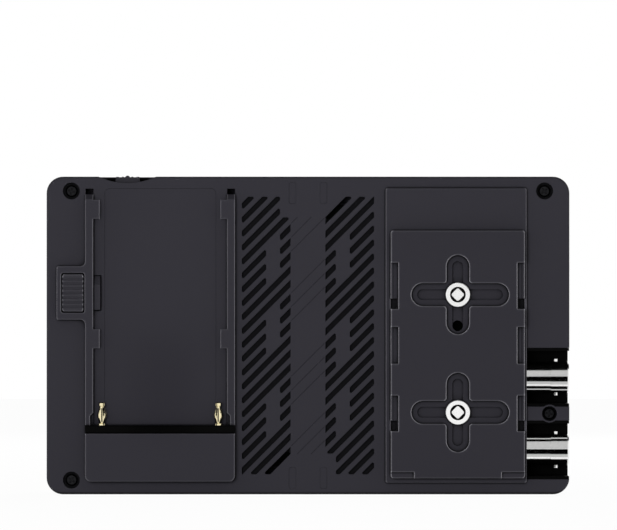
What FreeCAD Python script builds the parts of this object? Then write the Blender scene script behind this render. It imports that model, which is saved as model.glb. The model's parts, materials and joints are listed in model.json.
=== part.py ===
import FreeCAD
import Part
import math
import os

# Camera field monitor with a battery plate and an accessory plate on its back.
# X runs to the right seen from behind, Y from the back to the screen, Z up.
# The origin is the mouth of the tripod thread in the bottom face. Millimetres and degrees.

V = FreeCAD.Vector
AXIS_X = V(1, 0, 0)
AXIS_Y = V(0, 1, 0)
AXIS_Z = V(0, 0, 1)

# Fits and edges
overrun = 1.0             # every cut runs this far past the material
same_place = 0.0001       # two places closer than this are one
seat_gap = 0.05           # round a fixed piece in its seat
slip_gap = 0.3            # round a piece that moves
bore_gap = 0.05           # running fit of a pin in its bore
edge_break = 0.3          # small rounding of moulded edges

# Case shells
cover_wall = 2.0
bezel_wall = 2.4
case_corner = 4.8
case_edge = 0.9
thread_to_back = 7.0      # tripod thread to the back face
lip_depth = 1.5
lip_thick = 1.0

# Battery plate, for a slide-on camcorder battery 38.4 mm wide
rail_gap = 38.7
rail_thick = 2.3
rail_height = 4.2
rail_length = 66.8
rail_top_margin = 5.2
rail_relief = 0.9
rail_relief_length = 3.7
rail_hole_length = 1.7
rail_ramp_length = 1.5
rail_ramp_drop = 2.6
hook_reach = 1.9
hook_thick = 1.8
hook_length = 5.5
hook_low_share = 0.3338    # lower hooks along the rails
hook_top_margin = 1.6
tenon_length = 5.0
tenon_shares = (0.12, 0.4, 0.9)
block_margin = 3.8
block_length = 13.9
block_height = 6.0
block_corner = 1.7
block_wall = 1.8
bar_length = 2.3
bar_height = 5.4
web_thick = 0.8
panel_inset = 3.2
panel_top_margin = 3.4
panel_corner = 1.6
panel_depth = 0.09

# Battery pins
pin_spacing = 33.6
pin_length = 6.7
pin_radius = 0.75
pin_bulge_radius = 1.35
pin_rise = 3.4            # pin axis above the floor of the bay
pin_root = 1.4
pin_slot = 0.35
pin_profile_shares = (
    (0.0, 0.78), (0.08, 0.78), (0.11, 0.56), (0.2, 0.7), (0.32, 0.92), (0.42, 1.0), (0.52, 0.95),
    (0.66, 0.74), (0.78, 0.54), (0.82, 0.54), (0.85, 0.7), (0.96, 0.7), (1.0, 0.52),
)
pin_slot_shares = (0.16, 0.74)

# Battery latch
latch_share = 0.57335     # middle of the latch along the rails
latch_travel = 2.2
housing_width = 8.25
housing_length = 15.5
housing_corner = 0.6
housing_blend = 1.3
housing_margin = 3.05
button_width = 6.0
button_length = 10.7
button_inset = 0.55       # rail to button
button_gap = 0.4
button_proud = 0.2
button_corner = 0.6
button_ribs = 8
groove_radius = 0.62
groove_depth = 0.22
tooth_width = 1.7
tooth_length = 9.7
tooth_height = 2.0
tooth_ramp = 2.5
arm_thick = 1.8
arm_flange = 0.8
spring_solid = 2.8        # springs fully pressed
spring_radius = 1.5
spring_wire_radius = 0.2
spring_turns = 5
spring_spread = 3.2
retainer_thick = 1.2
retainer_boss_radius = 1.8
retainer_reach = 4.5      # middle of the latch to the retainer screws
retainer_offset = 2.8     # tooth to the retainer screws
retainer_hole_depth = 4.0
peg_radius = 0.9
peg_length = 1.6

# Vent slots
vent_inner = 5.05
vent_width = 14.1
vent_margin = 5.8
vent_pitch = 4.03
slot_width = 1.5
slot_corner = 0.42
slant_share = math.sqrt(0.5)
corner_share = 0.45
island_start = 3.05
island_width = 4.0
first_row = -14
last_row = 7
broken_rows = (-9, -8, -7, -4, -3, -2, 2, 3, 4)
corner_rows = (-12, -11)
lowered_rows = (-10,)
vent_to_rail = 1.95
vent_to_pad = 3.3
screen_thick = 0.4
screen_margin = 0.5
screen_corner_cut = 9.0
band_rows = (-9, -8, -7, -4, -3, -2, 2, 3, 4, 7, 8, 9)
band_margin = 11.8
band_inset = 0.4
band_line_radius = 0.12
band_line_depth = 0.09
bar_mark_width = 2.05
bar_mark_length = 6.2
bar_mark_margin = 1.65
bar_mark_corner = 0.6
bar_mark_depth = 0.09
bar_mark_offset = 4.5

# Accessory pad and plate
pad_width = 40.85
pad_margin = 3.35
pad_rise = 1.2
pad_corner = 0.6
plate_width = 38.75
plate_length = 71.6
plate_shift = 0.4         # towards the jacks
plate_rise = 4.8
plate_margin = 1.4
plate_corner = 0.8
pocket_depth = 2.2
pocket_drop = 2.2
pocket_step_width = 0.95
pocket_step_drop = 0.8
pocket_hole_length = 3.05
pocket_hole_width = 1.85
pocket_hole_corner = 0.7
pocket_hole_sink = 1.3
pocket_shares = ((0.190, 0.334, True), (0.4625, 0.6105, False), (0.683, 0.870, True))
notch_width = 6.7
notch_length = 1.8
notch_drop = 0.7
cross_low = 19.05
cross_spacing = 34.0
cross_left = 13.45
cross_right = 14.8
cross_up = 11.45
cross_arm = 6.6
cross_depth = 2.4
cross_step = 1.2
cross_inner_arm = 3.1
cross_fillet = 0.9
spare_hole_radius = 1.55
spare_hole_drop = 9.0

# Plate screws and their inserts
head_radius = 3.55
head_height = 2.0
shank_radius = 2.0
socket_flat = 3.2
socket_sides = 6
socket_depth = 1.4
socket_rim_radius = 2.1
socket_rim_depth = 0.35
plate_boss_radius = 4.2
plate_boss_length = 6.0
plate_insert_radius = 3.0
plate_insert_length = 4.0
shank_into_insert = 3.2

# Case screws
well_radius = 2.45
well_depth = 3.0
rib_well_radius = 2.15
case_boss_radius = 3.0
rib_boss_radius = 2.6
case_head_radius = 1.7
case_head_height = 1.3
case_shank_radius = 1.1
case_screw_reach = 4.4    # shank past the parting line
screw_edge_x = 7.2
screw_edge_z = 4.15
rib_screw_edge = 5.8

# Connector bays and bayonet jacks
bay_depth = 12.4
bay_margin = 4.35
bay_height = 17.05
bay_rib = 4.0
tub_wall = 0.9
tub_floor = 1.0
tub_side_wall = 1.4
tub_inset = 0.1
plug_radius = 7.25
plug_gap = 0.15
barrel_radius = 4.65
barrel_neck_radius = 4.5
barrel_lip = 5.3
barrel_inset = 0.05
barrel_chamfer = 0.4
barrel_bore_radius = 4.05
barrel_bore_depth = 8.6
lug_radius = 0.65
lug_reach = 5.3
lug_setback = 3.9
jack_body_length = 10.0
jack_body_half = 5.2
jack_body_back = 3.4
insulator_radius = 2.4
insulator_base = 1.0
insulator_setback = 1.6
contact_radius = 1.1
contact_bore_radius = 0.65
contact_bore_depth = 4.0

# Jog lever in its scoop
jog_from_edge = 23.4
scoop_chord = 16.65
scoop_depth = 1.86
scoop_width = 8.0
scoop_wall = 2.0
cap_top = 6.6
cap_base = 7.6
cap_height = 2.6
cap_depth = 4.0
cap_setback = 0.8
ridge_width = 0.7
ridge_height = 0.3
nub_radius = 0.75
nub_proud = 0.35
side_nub_radius = 0.5
side_nub_proud = 0.05
side_nub_offset = 1.35
stem_width = 2.4
hub_radius = 1.9
hub_width = 2.0
pivot_drop = 12.5
pivot_radius = 0.6
jog_tilt = 6.0
jog_press = 0.5
ear_thick = 1.0
ear_half = 2.0
ear_cap = 1.5
carriage_floor = 1.2
plunger_radius = 1.2
plunger_length = 3.0
switch_half = 5.0
switch_height = 5.0
switch_wall_half = 6.1
switch_wall_drop = 0.35

# Screen stack and boards, from the back wall to the glass
board_space = 9.6
board_thick = 1.6
standoff_height = 0.9
chassis_thick = 1.2
light_thick = 2.6
lcd_thick = 1.4
ledge_thick = 1.2
tape_thick = 0.3
glass_thick = 1.1
glass_sink = 0.1
parting_gap = 0.1
lcd_side_margin = 12.2
lcd_edge_margin = 8.75
lcd_rib = 1.2
lcd_rib_depth = 2.5
lcd_gap = 0.2
lcd_corner = 0.5
window_side_lap = 1.8
window_edge_lap = 2.25
window_corner = 0.8
glass_rim = 2.75
glass_corner = 3.0
tape_width = 5.0
chassis_side = 3.7
chassis_overlap = 0.75
chassis_corner = 2.0
chassis_screw_edge = 6.7
chassis_screw_low = 4.5   # above the connector bays
chassis_screw_high = 14.0  # below the case top
chassis_boss_radius = 2.5
small_head_radius = 2.0
small_head_height = 0.8
small_shank_radius = 1.0
small_screw_reach = 3.2
board_left_gap = 3.2
board_right_gap = 1.5
board_top_margin = 8.6
board_bottom_gap = 0.5
board_corner = 1.5
board_screw_x_shares = (0.24, 0.7, 0.9)
board_screw_edge = 3.6
standoff_radius = 2.4

# Processor cooling
processor_size = 16.0
processor_thick = 1.4
memory_width = 9.0
memory_height = 11.0
memory_thick = 1.1
coil_size = 6.0
coil_height = 3.2
coil_pitch = 8.0
coil_count = 4
thermal_pad_thick = 0.5
sink_base = 1.5
sink_fin = 0.9
sink_fin_height = 4.4
sink_fin_pitch = 3.4
sink_fins = 10
sink_margin = 12.0
sink_side = 0.6

# Display ribbon
ribbon_width = 16.0
ribbon_start = 27.0
ribbon_thick = 0.3
ribbon_drop = 2.3
ribbon_bend = 1.0
ribbon_socket_depth = 1.2
ribbon_socket_height = 3.0
ribbon_socket_lift = 1.2

# Side ports
port_face_inset = 0.3
port_gap = 2.2
video_width = 15.0
video_height = 5.6
video_depth = 11.0
video_shell = 0.45
video_chamfer = 1.5
tongue_width = 11.2
tongue_thick = 1.0
tongue_setback = 1.4
phone_width = 6.0
phone_height = 5.2
phone_depth = 13.0
phone_bore_radius = 1.8
phone_bore_depth = 12.0
phone_collar_radius = 2.4
power_width = 9.0
power_height = 9.0
power_depth = 13.0
power_bore_radius = 2.8
power_bore_depth = 9.5
power_collar_radius = 3.6
power_pin_radius = 1.0
power_pin_setback = 1.5

# Tripod threads, 1/4 inch
thread_radius = 3.175
thread_depth = 7.5
insert_radius = 4.3
insert_length = 8.5
insert_flange_radius = 5.2
insert_flange = 1.0
thread_boss_radius = 6.4
thread_boss_cap = 1.0
side_thread_rise = 66.0

# Places along X, from the middle of the vents outwards
vent_outer = vent_inner + vent_width
rail_r_out = -(vent_outer + vent_to_rail)
rail_r_in = rail_r_out - rail_thick
rail_l_in = rail_r_in - rail_gap
rail_l_out = rail_l_in - rail_thick
bay_mid_x = (rail_l_in + rail_r_in) / 2
housing_x0 = rail_l_out - housing_width
case_x0 = housing_x0 - housing_margin
pad_x0 = vent_outer + vent_to_pad
pad_x1 = pad_x0 + pad_width
plate_mid_x = (pad_x0 + pad_x1) / 2 + plate_shift
case_x1 = pad_x1 + bay_depth

# Places along Z, from the bottom face upwards
block_z1 = block_margin + block_length
stop_z = block_z1 + bar_length
rail_z1 = stop_z + rail_length
case_z1 = rail_z1 + rail_top_margin
mid_z = case_z1 / 2
latch_z = stop_z + rail_length * latch_share
hook_places = (
    stop_z + rail_length * hook_low_share,
    rail_z1 - hook_top_margin - hook_length,
)
vent_z0 = vent_margin
vent_z1 = case_z1 - vent_margin
pad_z0 = pad_margin
pad_z1 = case_z1 - pad_margin
plate_z0 = pad_z0 + plate_margin
plate_z1 = plate_z0 + plate_length
cross_places = (plate_z0 + cross_low, plate_z0 + cross_low + cross_spacing)
rib_z0 = bay_margin + bay_height
rib_z1 = rib_z0 + bay_rib
bay_top = rib_z1 + bay_height
bays = ((bay_margin, rib_z0), (rib_z1, bay_top))
lcd_x0 = case_x0 + lcd_side_margin
lcd_x1 = case_x1 - lcd_side_margin
lcd_z0 = lcd_edge_margin
lcd_z1 = case_z1 - lcd_edge_margin

# Places along Y, from the back face to the glass
back_y = -thread_to_back
inner_y = back_y + cover_wall
board_y0 = inner_y + board_space
board_y1 = board_y0 + board_thick
chassis_y0 = board_y1 + standoff_height
chassis_y1 = chassis_y0 + chassis_thick
light_y1 = chassis_y1 + light_thick
lcd_y1 = light_y1 + lcd_thick
ledge_y1 = lcd_y1 + ledge_thick
tape_y1 = ledge_y1 + tape_thick
glass_y1 = tape_y1 + glass_thick
front_y = glass_y1 + glass_sink
parting_y = chassis_y0 - parting_gap
rail_y = back_y - rail_height
pad_y = back_y - pad_rise
plate_y = pad_y - plate_rise
tub_floor_y1 = parting_y - parting_gap
tub_floor_y0 = tub_floor_y1 - tub_floor
jack_y = tub_floor_y0 - plug_radius - plug_gap
bay_side_x = pad_x1 - tub_side_wall
jack_nose_x = case_x1 - barrel_inset

# Latch places
button_x1 = rail_l_out - button_inset
button_x0 = button_x1 - button_width
button_z0 = latch_z - button_length / 2
button_z1 = latch_z + button_length / 2
button_mid_x = (button_x0 + button_x1) / 2
tooth_x0 = rail_l_in + slip_gap
tooth_x1 = tooth_x0 + tooth_width
tooth_z0 = latch_z - tooth_length / 2
tooth_z1 = latch_z + tooth_length / 2
arm_y0 = inner_y + seat_gap
arm_y1 = arm_y0 + arm_thick
retainer_y0 = arm_y1 + latch_travel + spring_solid
retainer_y1 = retainer_y0 + retainer_thick
retainer_x = tooth_x1 + retainer_offset
retainer_places = (latch_z - retainer_reach, latch_z + retainer_reach)

# Jog places
jog_x = case_x0 + jog_from_edge
scoop_radius = (scoop_chord * scoop_chord / 4 + scoop_depth * scoop_depth) / (2 * scoop_depth)
cap_y0 = inner_y + cap_setback
cap_y1 = cap_y0 + cap_depth
hub_y0 = (cap_y0 + cap_y1 - hub_width) / 2
hub_y1 = hub_y0 + hub_width
pivot_z = case_z1 - pivot_drop
cap_swing = pivot_drop * math.sin(math.radians(jog_tilt))
jog_slot_half = max(switch_wall_half + seat_gap, cap_base / 2 + cap_swing + slip_gap)
scoop_y1 = back_y + scoop_width
ear_y0 = hub_y0 - slip_gap - ear_thick
ear_y1 = hub_y1 + slip_gap + ear_thick
carriage_z1 = pivot_z - hub_radius - slip_gap
carriage_z0 = carriage_z1 - carriage_floor
switch_z1 = carriage_z0 - jog_press - slip_gap
switch_z0 = switch_z1 - switch_height

# Fixing places
case_screw_places = (
    (case_x0 + screw_edge_x, case_z1 - screw_edge_z, well_radius, case_boss_radius),
    (case_x1 - screw_edge_x, case_z1 - screw_edge_z, well_radius, case_boss_radius),
    (case_x0 + screw_edge_x, screw_edge_z, well_radius, case_boss_radius),
    (case_x1 - rib_screw_edge, (rib_z0 + rib_z1) / 2, rib_well_radius, rib_boss_radius),
)
chassis_screw_places = [
    (x, z)
    for x in (case_x0 + chassis_screw_edge, case_x1 - chassis_screw_edge)
    for z in (bay_top + chassis_screw_low, case_z1 - chassis_screw_high)
]
thread_boss_top = insert_length + thread_boss_cap
board_x0 = case_x0 + board_left_gap
board_x1 = bay_side_x - board_right_gap
board_z0 = thread_boss_top + board_bottom_gap
board_z1 = case_z1 - board_top_margin
board_screw_places = [
    (board_x0 + (board_x1 - board_x0) * share, z)
    for share in board_screw_x_shares
    for z in (board_z0 + board_screw_edge, board_z1 - board_screw_edge)
]
processor_y = board_y0 - processor_thick
thermal_pad_y = processor_y - thermal_pad_thick
sink_y = thermal_pad_y - sink_base

# Side port places, from the bottom up and above the latch
port_x0 = case_x0 + port_face_inset
video_in_z = board_z0 + video_width / 2
phone_z = video_in_z + video_width / 2 + port_gap + phone_width / 2
video_out_z = phone_z + phone_width / 2 + port_gap + video_width / 2
power_z = button_z1 + arm_flange + port_gap + power_width / 2
phone_y = board_y0 - phone_height / 2
power_y = board_y0 - power_height / 2


# Basic forms

def block(x0, x1, y0, y1, z0, z1):
    """A box between two places along each axis."""
    return Part.makeBox(x1 - x0, y1 - y0, z1 - z0, V(x0, y0, z0))


def rod_x(y, z, radius, x0, x1):
    """A round bar along X."""
    return Part.makeCylinder(radius, x1 - x0, V(x0, y, z), AXIS_X)


def rod_y(x, z, radius, y0, y1):
    """A round bar along Y."""
    return Part.makeCylinder(radius, y1 - y0, V(x, y0, z), AXIS_Y)


def rod_z(x, y, radius, z0, z1):
    """A round bar along Z."""
    return Part.makeCylinder(radius, z1 - z0, V(x, y, z0), AXIS_Z)


def runs_along(edge, axis):
    """True for a straight edge along an axis."""
    straight = isinstance(edge.Curve, Part.Line)
    return straight and abs(abs(edge.tangentAt(edge.FirstParameter).dot(axis)) - 1) < same_place


def edges_along(shape, axis):
    """The straight edges of a shape along an axis."""
    return [edge for edge in shape.Edges if runs_along(edge, axis)]


def edges_at_y(shape, level):
    """The edges that lie wholly at one level of Y."""
    return [
        edge for edge in shape.Edges
        if abs(edge.BoundBox.YMin - level) < same_place and abs(edge.BoundBox.YMax - level) < same_place
    ]


def round_plate(x0, x1, z0, z1, radius, y0, y1):
    """A plate across Y with round corners."""
    plate = block(x0, x1, y0, y1, z0, z1)
    return plate.makeFillet(radius, edges_along(plate, AXIS_Y))


def soften(shape, level, radius):
    """Round all the edges at one level of Y."""
    return shape.makeFillet(radius, edges_at_y(shape, level))


def prism_y(points, y0, y1):
    """An outline of (x, z) points drawn out along Y."""
    corners = [V(x, y0, z) for x, z in points]
    face = Part.Face(Part.makePolygon(corners + corners[:1]))
    return face.extrude(AXIS_Y * (y1 - y0))


def prism_x(points, x0, x1):
    """An outline of (y, z) points drawn out along X."""
    corners = [V(x0, y, z) for y, z in points]
    face = Part.Face(Part.makePolygon(corners + corners[:1]))
    return face.extrude(AXIS_X * (x1 - x0))


def slot_prism(start, end, radius, y0, y1):
    """A slot with round ends about two (x, z) centres, drawn out along Y."""
    a = V(start[0], y0, start[1])
    b = V(end[0], y0, end[1])
    along = (b - a).normalize()
    side = along.cross(AXIS_Y)
    edges = [
        Part.Arc(a + side * radius, a - along * radius, a - side * radius).toShape(),
        Part.makeLine(a - side * radius, b - side * radius),
        Part.Arc(b - side * radius, b + along * radius, b + side * radius).toShape(),
        Part.makeLine(b + side * radius, a + side * radius),
    ]
    return Part.Face(Part.Wire(edges)).extrude(AXIS_Y * (y1 - y0))


def turned(profile, axis_point, axis):
    """A closed outline of points turned once round an axis."""
    face = Part.Face(Part.makePolygon(profile + profile[:1]))
    return face.revolve(axis_point, axis, 360)


def mirrored_x(shape, x):
    """A copy mirrored across the plane at one place of X."""
    return shape.mirror(V(x, 0, 0), AXIS_X)


def one_solid(shape):
    """The single solid of a finished piece."""
    if len(shape.Solids) != 1:
        raise ValueError("expected one solid, got %d" % len(shape.Solids))
    return shape.Solids[0]


def save(name, shape):
    """Write one node and say what it holds."""
    shape.exportStep(os.path.join("parts", name + ".step"))
    print(name, "solids", len(shape.Solids), "volume", round(shape.Volume, 2), shape.isValid())


# Vent slots: 45 degree rows, the same pattern turned half round for the right column

def trimmed(points, limit, sign):
    """The part of a convex outline in X and Z that lies below a limit, or above it for sign -1."""
    kept = []
    for (x0, z0), (x1, z1) in zip(points, points[1:] + points[:1]):
        if sign * (z0 - limit) <= 0:
            kept.append((x0, z0))
        if (z0 - limit) * (z1 - limit) < 0:
            share = (limit - z0) / (z1 - z0)
            kept.append((x0 + (x1 - x0) * share, limit))
    return kept


def rounded_prism(points, radius, y0, y1):
    """A convex outline with rounded corners, extruded along Y."""
    corners = [V(x, y0, z) for x, z in points]
    arcs = []
    for count, here in enumerate(corners):
        back = corners[count - 1] - here
        fore = corners[(count + 1) % len(corners)] - here
        half = back.getAngle(fore) / 2
        reach = min(radius / math.tan(half), back.Length * corner_share, fore.Length * corner_share)
        back.normalize()
        fore.normalize()
        inward = (back + fore).normalize()
        depth = reach / math.cos(half) - reach * math.tan(half)
        arcs.append((here + back * reach, here + inward * depth, here + fore * reach))
    edges = []
    for count, (start, middle, end) in enumerate(arcs):
        edges.append(Part.Arc(start, middle, end).toShape())
        edges.append(Part.makeLine(end, arcs[(count + 1) % len(arcs)][0]))
    return Part.Face(Part.Wire(edges)).extrude(AXIS_Y * (y1 - y0))


def row_windows(row):
    """Where one row of the left column is open: its two ends and its highest point."""
    island_in = -vent_inner - island_start
    island_out = island_in - island_width
    top = case_z1 - band_margin if row in lowered_rows else vent_z1
    if row in broken_rows:
        return [(-vent_outer, island_out, top), (island_in, -vent_inner, top)]
    if row in corner_rows:
        return [(-vent_outer, island_in, top)]
    return [(-vent_outer, -vent_inner, top)]


def slanted_slot(x0, x1, top, row):
    """One slot at 45 degrees with upright, softly rounded ends, cut flat at the middle band."""
    base = mid_z - vent_pitch * row
    half = slot_width * slant_share
    far = x1 + slot_width if x1 == -vent_inner else x1
    points = [
        (x0, base + x0 - half), (far, base + far - half), (far, base + far + half), (x0, base + x0 + half)]
    points = trimmed(trimmed(points, top, 1), vent_z0, -1)
    y0 = back_y - overrun
    y1 = inner_y + overrun
    slot = rounded_prism(points, slot_corner, y0, y1)
    return slot.common(block(x0, x1, y0, y1, 0, case_z1))


def vent_cutters():
    """All the slots of both columns."""
    left = []
    for row in range(first_row, last_row + 1):
        for x0, x1, top in row_windows(row):
            left.append(slanted_slot(x0, x1, top, row))
    right = [slot.rotated(V(0, 0, mid_z), AXIS_Y, 180) for slot in left]
    return left + right


def band_cutters():
    """Fine lines that carry the broken rows across the middle band, and four shallow bars."""
    lift = slot_width * slant_share
    reach = vent_inner - band_inset
    cutters = []
    for row in band_rows:
        base = mid_z + vent_pitch * row + lift
        x0 = max(-reach, band_margin - base)
        x1 = min(reach, case_z1 - band_margin - base)
        cutters.append(slot_prism(
            (x0, base + x0), (x1, base + x1), band_line_radius, back_y - overrun, back_y + band_line_depth))
    for x in (-bar_mark_offset, bar_mark_offset):
        for z in (bar_mark_margin, case_z1 - bar_mark_margin - bar_mark_length):
            cutters.append(round_plate(
                x - bar_mark_width / 2, x + bar_mark_width / 2, z, z + bar_mark_length, bar_mark_corner,
                back_y - overrun, back_y + bar_mark_depth))
    return cutters


def vent_screens():
    """Dust screens behind the slots, each open at one corner."""
    x1 = -vent_inner + screen_margin
    x0 = -vent_outer - screen_margin
    z0 = vent_z0 - screen_margin
    z1 = vent_z1 + screen_margin
    outline = [(x0, z0), (x1 - screen_corner_cut, z0), (x1, z0 + screen_corner_cut), (x1, z1), (x0, z1)]
    left = prism_y(outline, inner_y, inner_y + screen_thick)
    return Part.makeCompound([left, left.rotated(V(0, 0, mid_z), AXIS_Y, 180)])


# Rear cover

def cover_shell():
    """The back shell with its raised pad, hollow behind."""
    outer = round_plate(case_x0, case_x1, 0, case_z1, case_corner, back_y, parting_y)
    outer = soften(outer, back_y, case_edge)
    pad = round_plate(pad_x0, pad_x1, pad_z0, pad_z1, pad_corner, pad_y, inner_y)
    pad = soften(pad, pad_y, edge_break)
    inside = round_plate(
        case_x0 + cover_wall, case_x1 - cover_wall, cover_wall, case_z1 - cover_wall,
        case_corner - cover_wall, inner_y, parting_y + overrun)
    pad_inside = block(
        pad_x0 + cover_wall, pad_x1 - cover_wall, inner_y - pad_rise, inner_y + overrun,
        pad_z0 + cover_wall, pad_z1 - cover_wall)
    return outer.fuse(pad).cut([inside, pad_inside])


def cover_bosses():
    """Screw bosses, thread bosses, the rib between the bays and the floor under the scoop."""
    bosses = [rod_y(x, z, boss, inner_y, parting_y) for x, z, well, boss in case_screw_places[:3]]
    bosses += [
        rod_y(plate_mid_x, z, plate_boss_radius, inner_y - pad_rise, inner_y + plate_boss_length)
        for z in cross_places
    ]
    bosses += [rod_y(retainer_x, z, retainer_boss_radius, inner_y, retainer_y0) for z in retainer_places]
    bosses.append(rod_z(0, 0, thread_boss_radius, 0, thread_boss_top))
    bosses.append(rod_x(0, side_thread_rise, thread_boss_radius, case_x1 - thread_boss_top, case_x1))
    bosses.append(block(pad_x1, case_x1 - cover_wall, inner_y, parting_y, rib_z0, rib_z1))
    bosses.append(block(
        jog_x - scoop_chord / 2 - scoop_wall, jog_x + scoop_chord / 2 + scoop_wall,
        inner_y, scoop_y1 + scoop_wall,
        case_z1 - scoop_depth - scoop_wall, case_z1 - cover_wall))
    return bosses


def bay_cutters():
    """The two connector bays, open to the back and to the side."""
    cutters = []
    for z0, z1 in bays:
        cutters.append(block(pad_x1, case_x1 + overrun, back_y - overrun, parting_y + overrun, z0, z1))
        jack_z = (z0 + z1) / 2
        cutters.append(rod_x(
            jack_y, jack_z, barrel_radius + slip_gap, bay_side_x - overrun, pad_x1 + overrun))
    return cutters


def fixing_cutters():
    """Wells, clearance holes and insert seats in the rear cover."""
    cutters = []
    for x, z, well, boss in case_screw_places:
        cutters.append(rod_y(x, z, well, back_y - overrun, back_y + well_depth))
        cutters.append(rod_y(x, z, case_shank_radius + slip_gap, back_y, parting_y + overrun))
    for z in cross_places:
        cutters.append(rod_y(
            plate_mid_x, z, shank_radius + slip_gap, pad_y - overrun, inner_y + plate_boss_length))
        insert_y0 = inner_y + plate_boss_length - plate_insert_length
        cutters.append(rod_y(
            plate_mid_x, z, plate_insert_radius + seat_gap, insert_y0, inner_y + plate_boss_length + overrun))
    for z in retainer_places:
        cutters.append(rod_y(
            retainer_x, z, small_shank_radius + seat_gap,
            retainer_y0 - retainer_hole_depth, retainer_y0 + overrun))
    cutters.append(rod_z(0, 0, insert_radius + seat_gap, -overrun, insert_length + seat_gap))
    cutters.append(rod_z(0, 0, insert_flange_radius + seat_gap, -overrun, insert_flange + seat_gap))
    side = case_x1 - insert_length - seat_gap
    cutters.append(rod_x(0, side_thread_rise, insert_radius + seat_gap, side, case_x1 + overrun))
    side = case_x1 - insert_flange - seat_gap
    cutters.append(rod_x(0, side_thread_rise, insert_flange_radius + seat_gap, side, case_x1 + overrun))
    return cutters


def battery_cutters():
    """Holes under the battery plate: rail ends, tenons, button and tooth."""
    y0 = back_y - overrun
    y1 = inner_y + overrun
    cutters = [
        block(x, x + rail_thick, y0, y1, rail_z1, rail_z1 + rail_hole_length) for x in (rail_l_out, rail_r_in)
    ]
    for x0, x1, z0, z1 in tenon_places():
        cutters.append(block(x0 - seat_gap, x1 + seat_gap, y0, y1, z0 - seat_gap, z1 + seat_gap))
    cutters.append(block(
        button_x0 - button_gap, button_x1 + button_gap, y0, y1,
        button_z0 - button_gap, button_z1 + button_gap))
    cutters.append(block(rail_l_in, tooth_x1 + slip_gap, y0, y1, tooth_z0 - slip_gap, tooth_z1 + slip_gap))
    cutters.append(round_plate(
        rail_l_in + panel_inset, rail_r_in - panel_inset, stop_z, case_z1 - panel_top_margin, panel_corner,
        y0, back_y + panel_depth))
    return cutters


def pad_cutters():
    """Hollows in the pad under the accessory plate's open pockets and its spare hole."""
    left = pocket_holes(pad_y - overrun, pad_y + pocket_hole_sink)
    cutters = left + [mirrored_x(cutter, plate_mid_x) for cutter in left]
    cutters.append(rod_y(
        plate_mid_x, cross_places[1] - spare_hole_drop, spare_hole_radius, pad_y - overrun, inner_y))
    return cutters


def scoop_cutters():
    """The finger scoop in the top edge and the slot that the lever stands in."""
    axis_z = case_z1 - scoop_depth + scoop_radius
    scoop = rod_y(jog_x, axis_z, scoop_radius, back_y - overrun, scoop_y1)
    slot = block(
        jog_x - jog_slot_half, jog_x + jog_slot_half, cap_y0 - slip_gap, scoop_y1 + seat_gap,
        case_z1 - scoop_depth - scoop_wall - overrun, case_z1 + overrun)
    return [scoop, slot]


def port_cutters():
    """Openings in the left wall for the side ports."""
    x0 = case_x0 - overrun
    x1 = case_x0 + cover_wall + overrun
    cutters = []
    for z in (video_in_z, video_out_z):
        outline = video_outline(z, seat_gap)
        cutters.append(prism_x(outline, x0, x1))
    cutters.append(rod_x(phone_y, phone_z, phone_collar_radius + seat_gap, x0, x1))
    cutters.append(rod_x(power_y, power_z, power_collar_radius + seat_gap, x0, x1))
    return cutters


def rear_cover():
    """The back shell with everything cut into it."""
    x, z, well, boss = case_screw_places[3]
    rib_boss = rod_y(x, z, boss, back_y, parting_y)
    shell = cover_shell().fuse(cover_bosses()).cut(bay_cutters()).fuse(rib_boss).removeSplitter()
    shell = shell.cut(fixing_cutters() + battery_cutters() + pad_cutters() + scoop_cutters() + port_cutters())
    return one_solid(shell.cut(vent_cutters() + band_cutters()))


# Battery plate, latch and contacts

def tenon_places():
    """Where the rails' tenons stand in the cover."""
    places = []
    for x in (rail_l_out, rail_r_in):
        for share in tenon_shares:
            z = stop_z + rail_length * share
            places.append((x, x + rail_thick, z - tenon_length / 2, z + tenon_length / 2))
    return places


def left_rail():
    """The left rail with its two hooks, the relief beside the pin and the ramp at its top."""
    rail = block(rail_l_out, rail_l_in, rail_y, back_y, stop_z, rail_z1)
    hooks = [
        block(rail_l_in, rail_l_in + hook_reach, rail_y, rail_y + hook_thick, z, z + hook_length)
        for z in hook_places
    ]
    relief_z = stop_z + rail_relief_length
    relief = prism_y(
        [(rail_l_in, stop_z), (rail_l_in, relief_z), (rail_l_in - rail_relief, relief_z - rail_relief),
         (rail_l_in - rail_relief, stop_z)],
        rail_y - overrun, back_y - web_thick)
    ramp_z = rail_z1 - rail_ramp_length
    ramp = prism_x(
        [(rail_y - overrun, ramp_z), (rail_y, ramp_z), (rail_y + rail_ramp_drop, rail_z1),
         (rail_y + rail_ramp_drop, rail_z1 + overrun), (rail_y - overrun, rail_z1 + overrun)],
        rail_l_out - overrun, rail_l_in + overrun)
    return rail.fuse(hooks).removeSplitter().cut([relief, ramp])


def contact_block():
    """The hollow block below the battery, round at its lower corners."""
    body = block(rail_l_out, rail_r_out, back_y - block_height, back_y, block_margin, block_z1)
    low = [edge for edge in edges_along(body, AXIS_Y) if edge.BoundBox.ZMax < block_z1 - same_place]
    body = body.makeFillet(block_corner, low)
    body = soften(body, back_y - block_height, edge_break)
    hollow = block(
        rail_l_out + block_wall, rail_r_out - block_wall, back_y - block_height + block_wall, back_y + overrun,
        block_margin + block_wall, block_z1 - block_wall)
    return body.cut(hollow)


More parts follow.
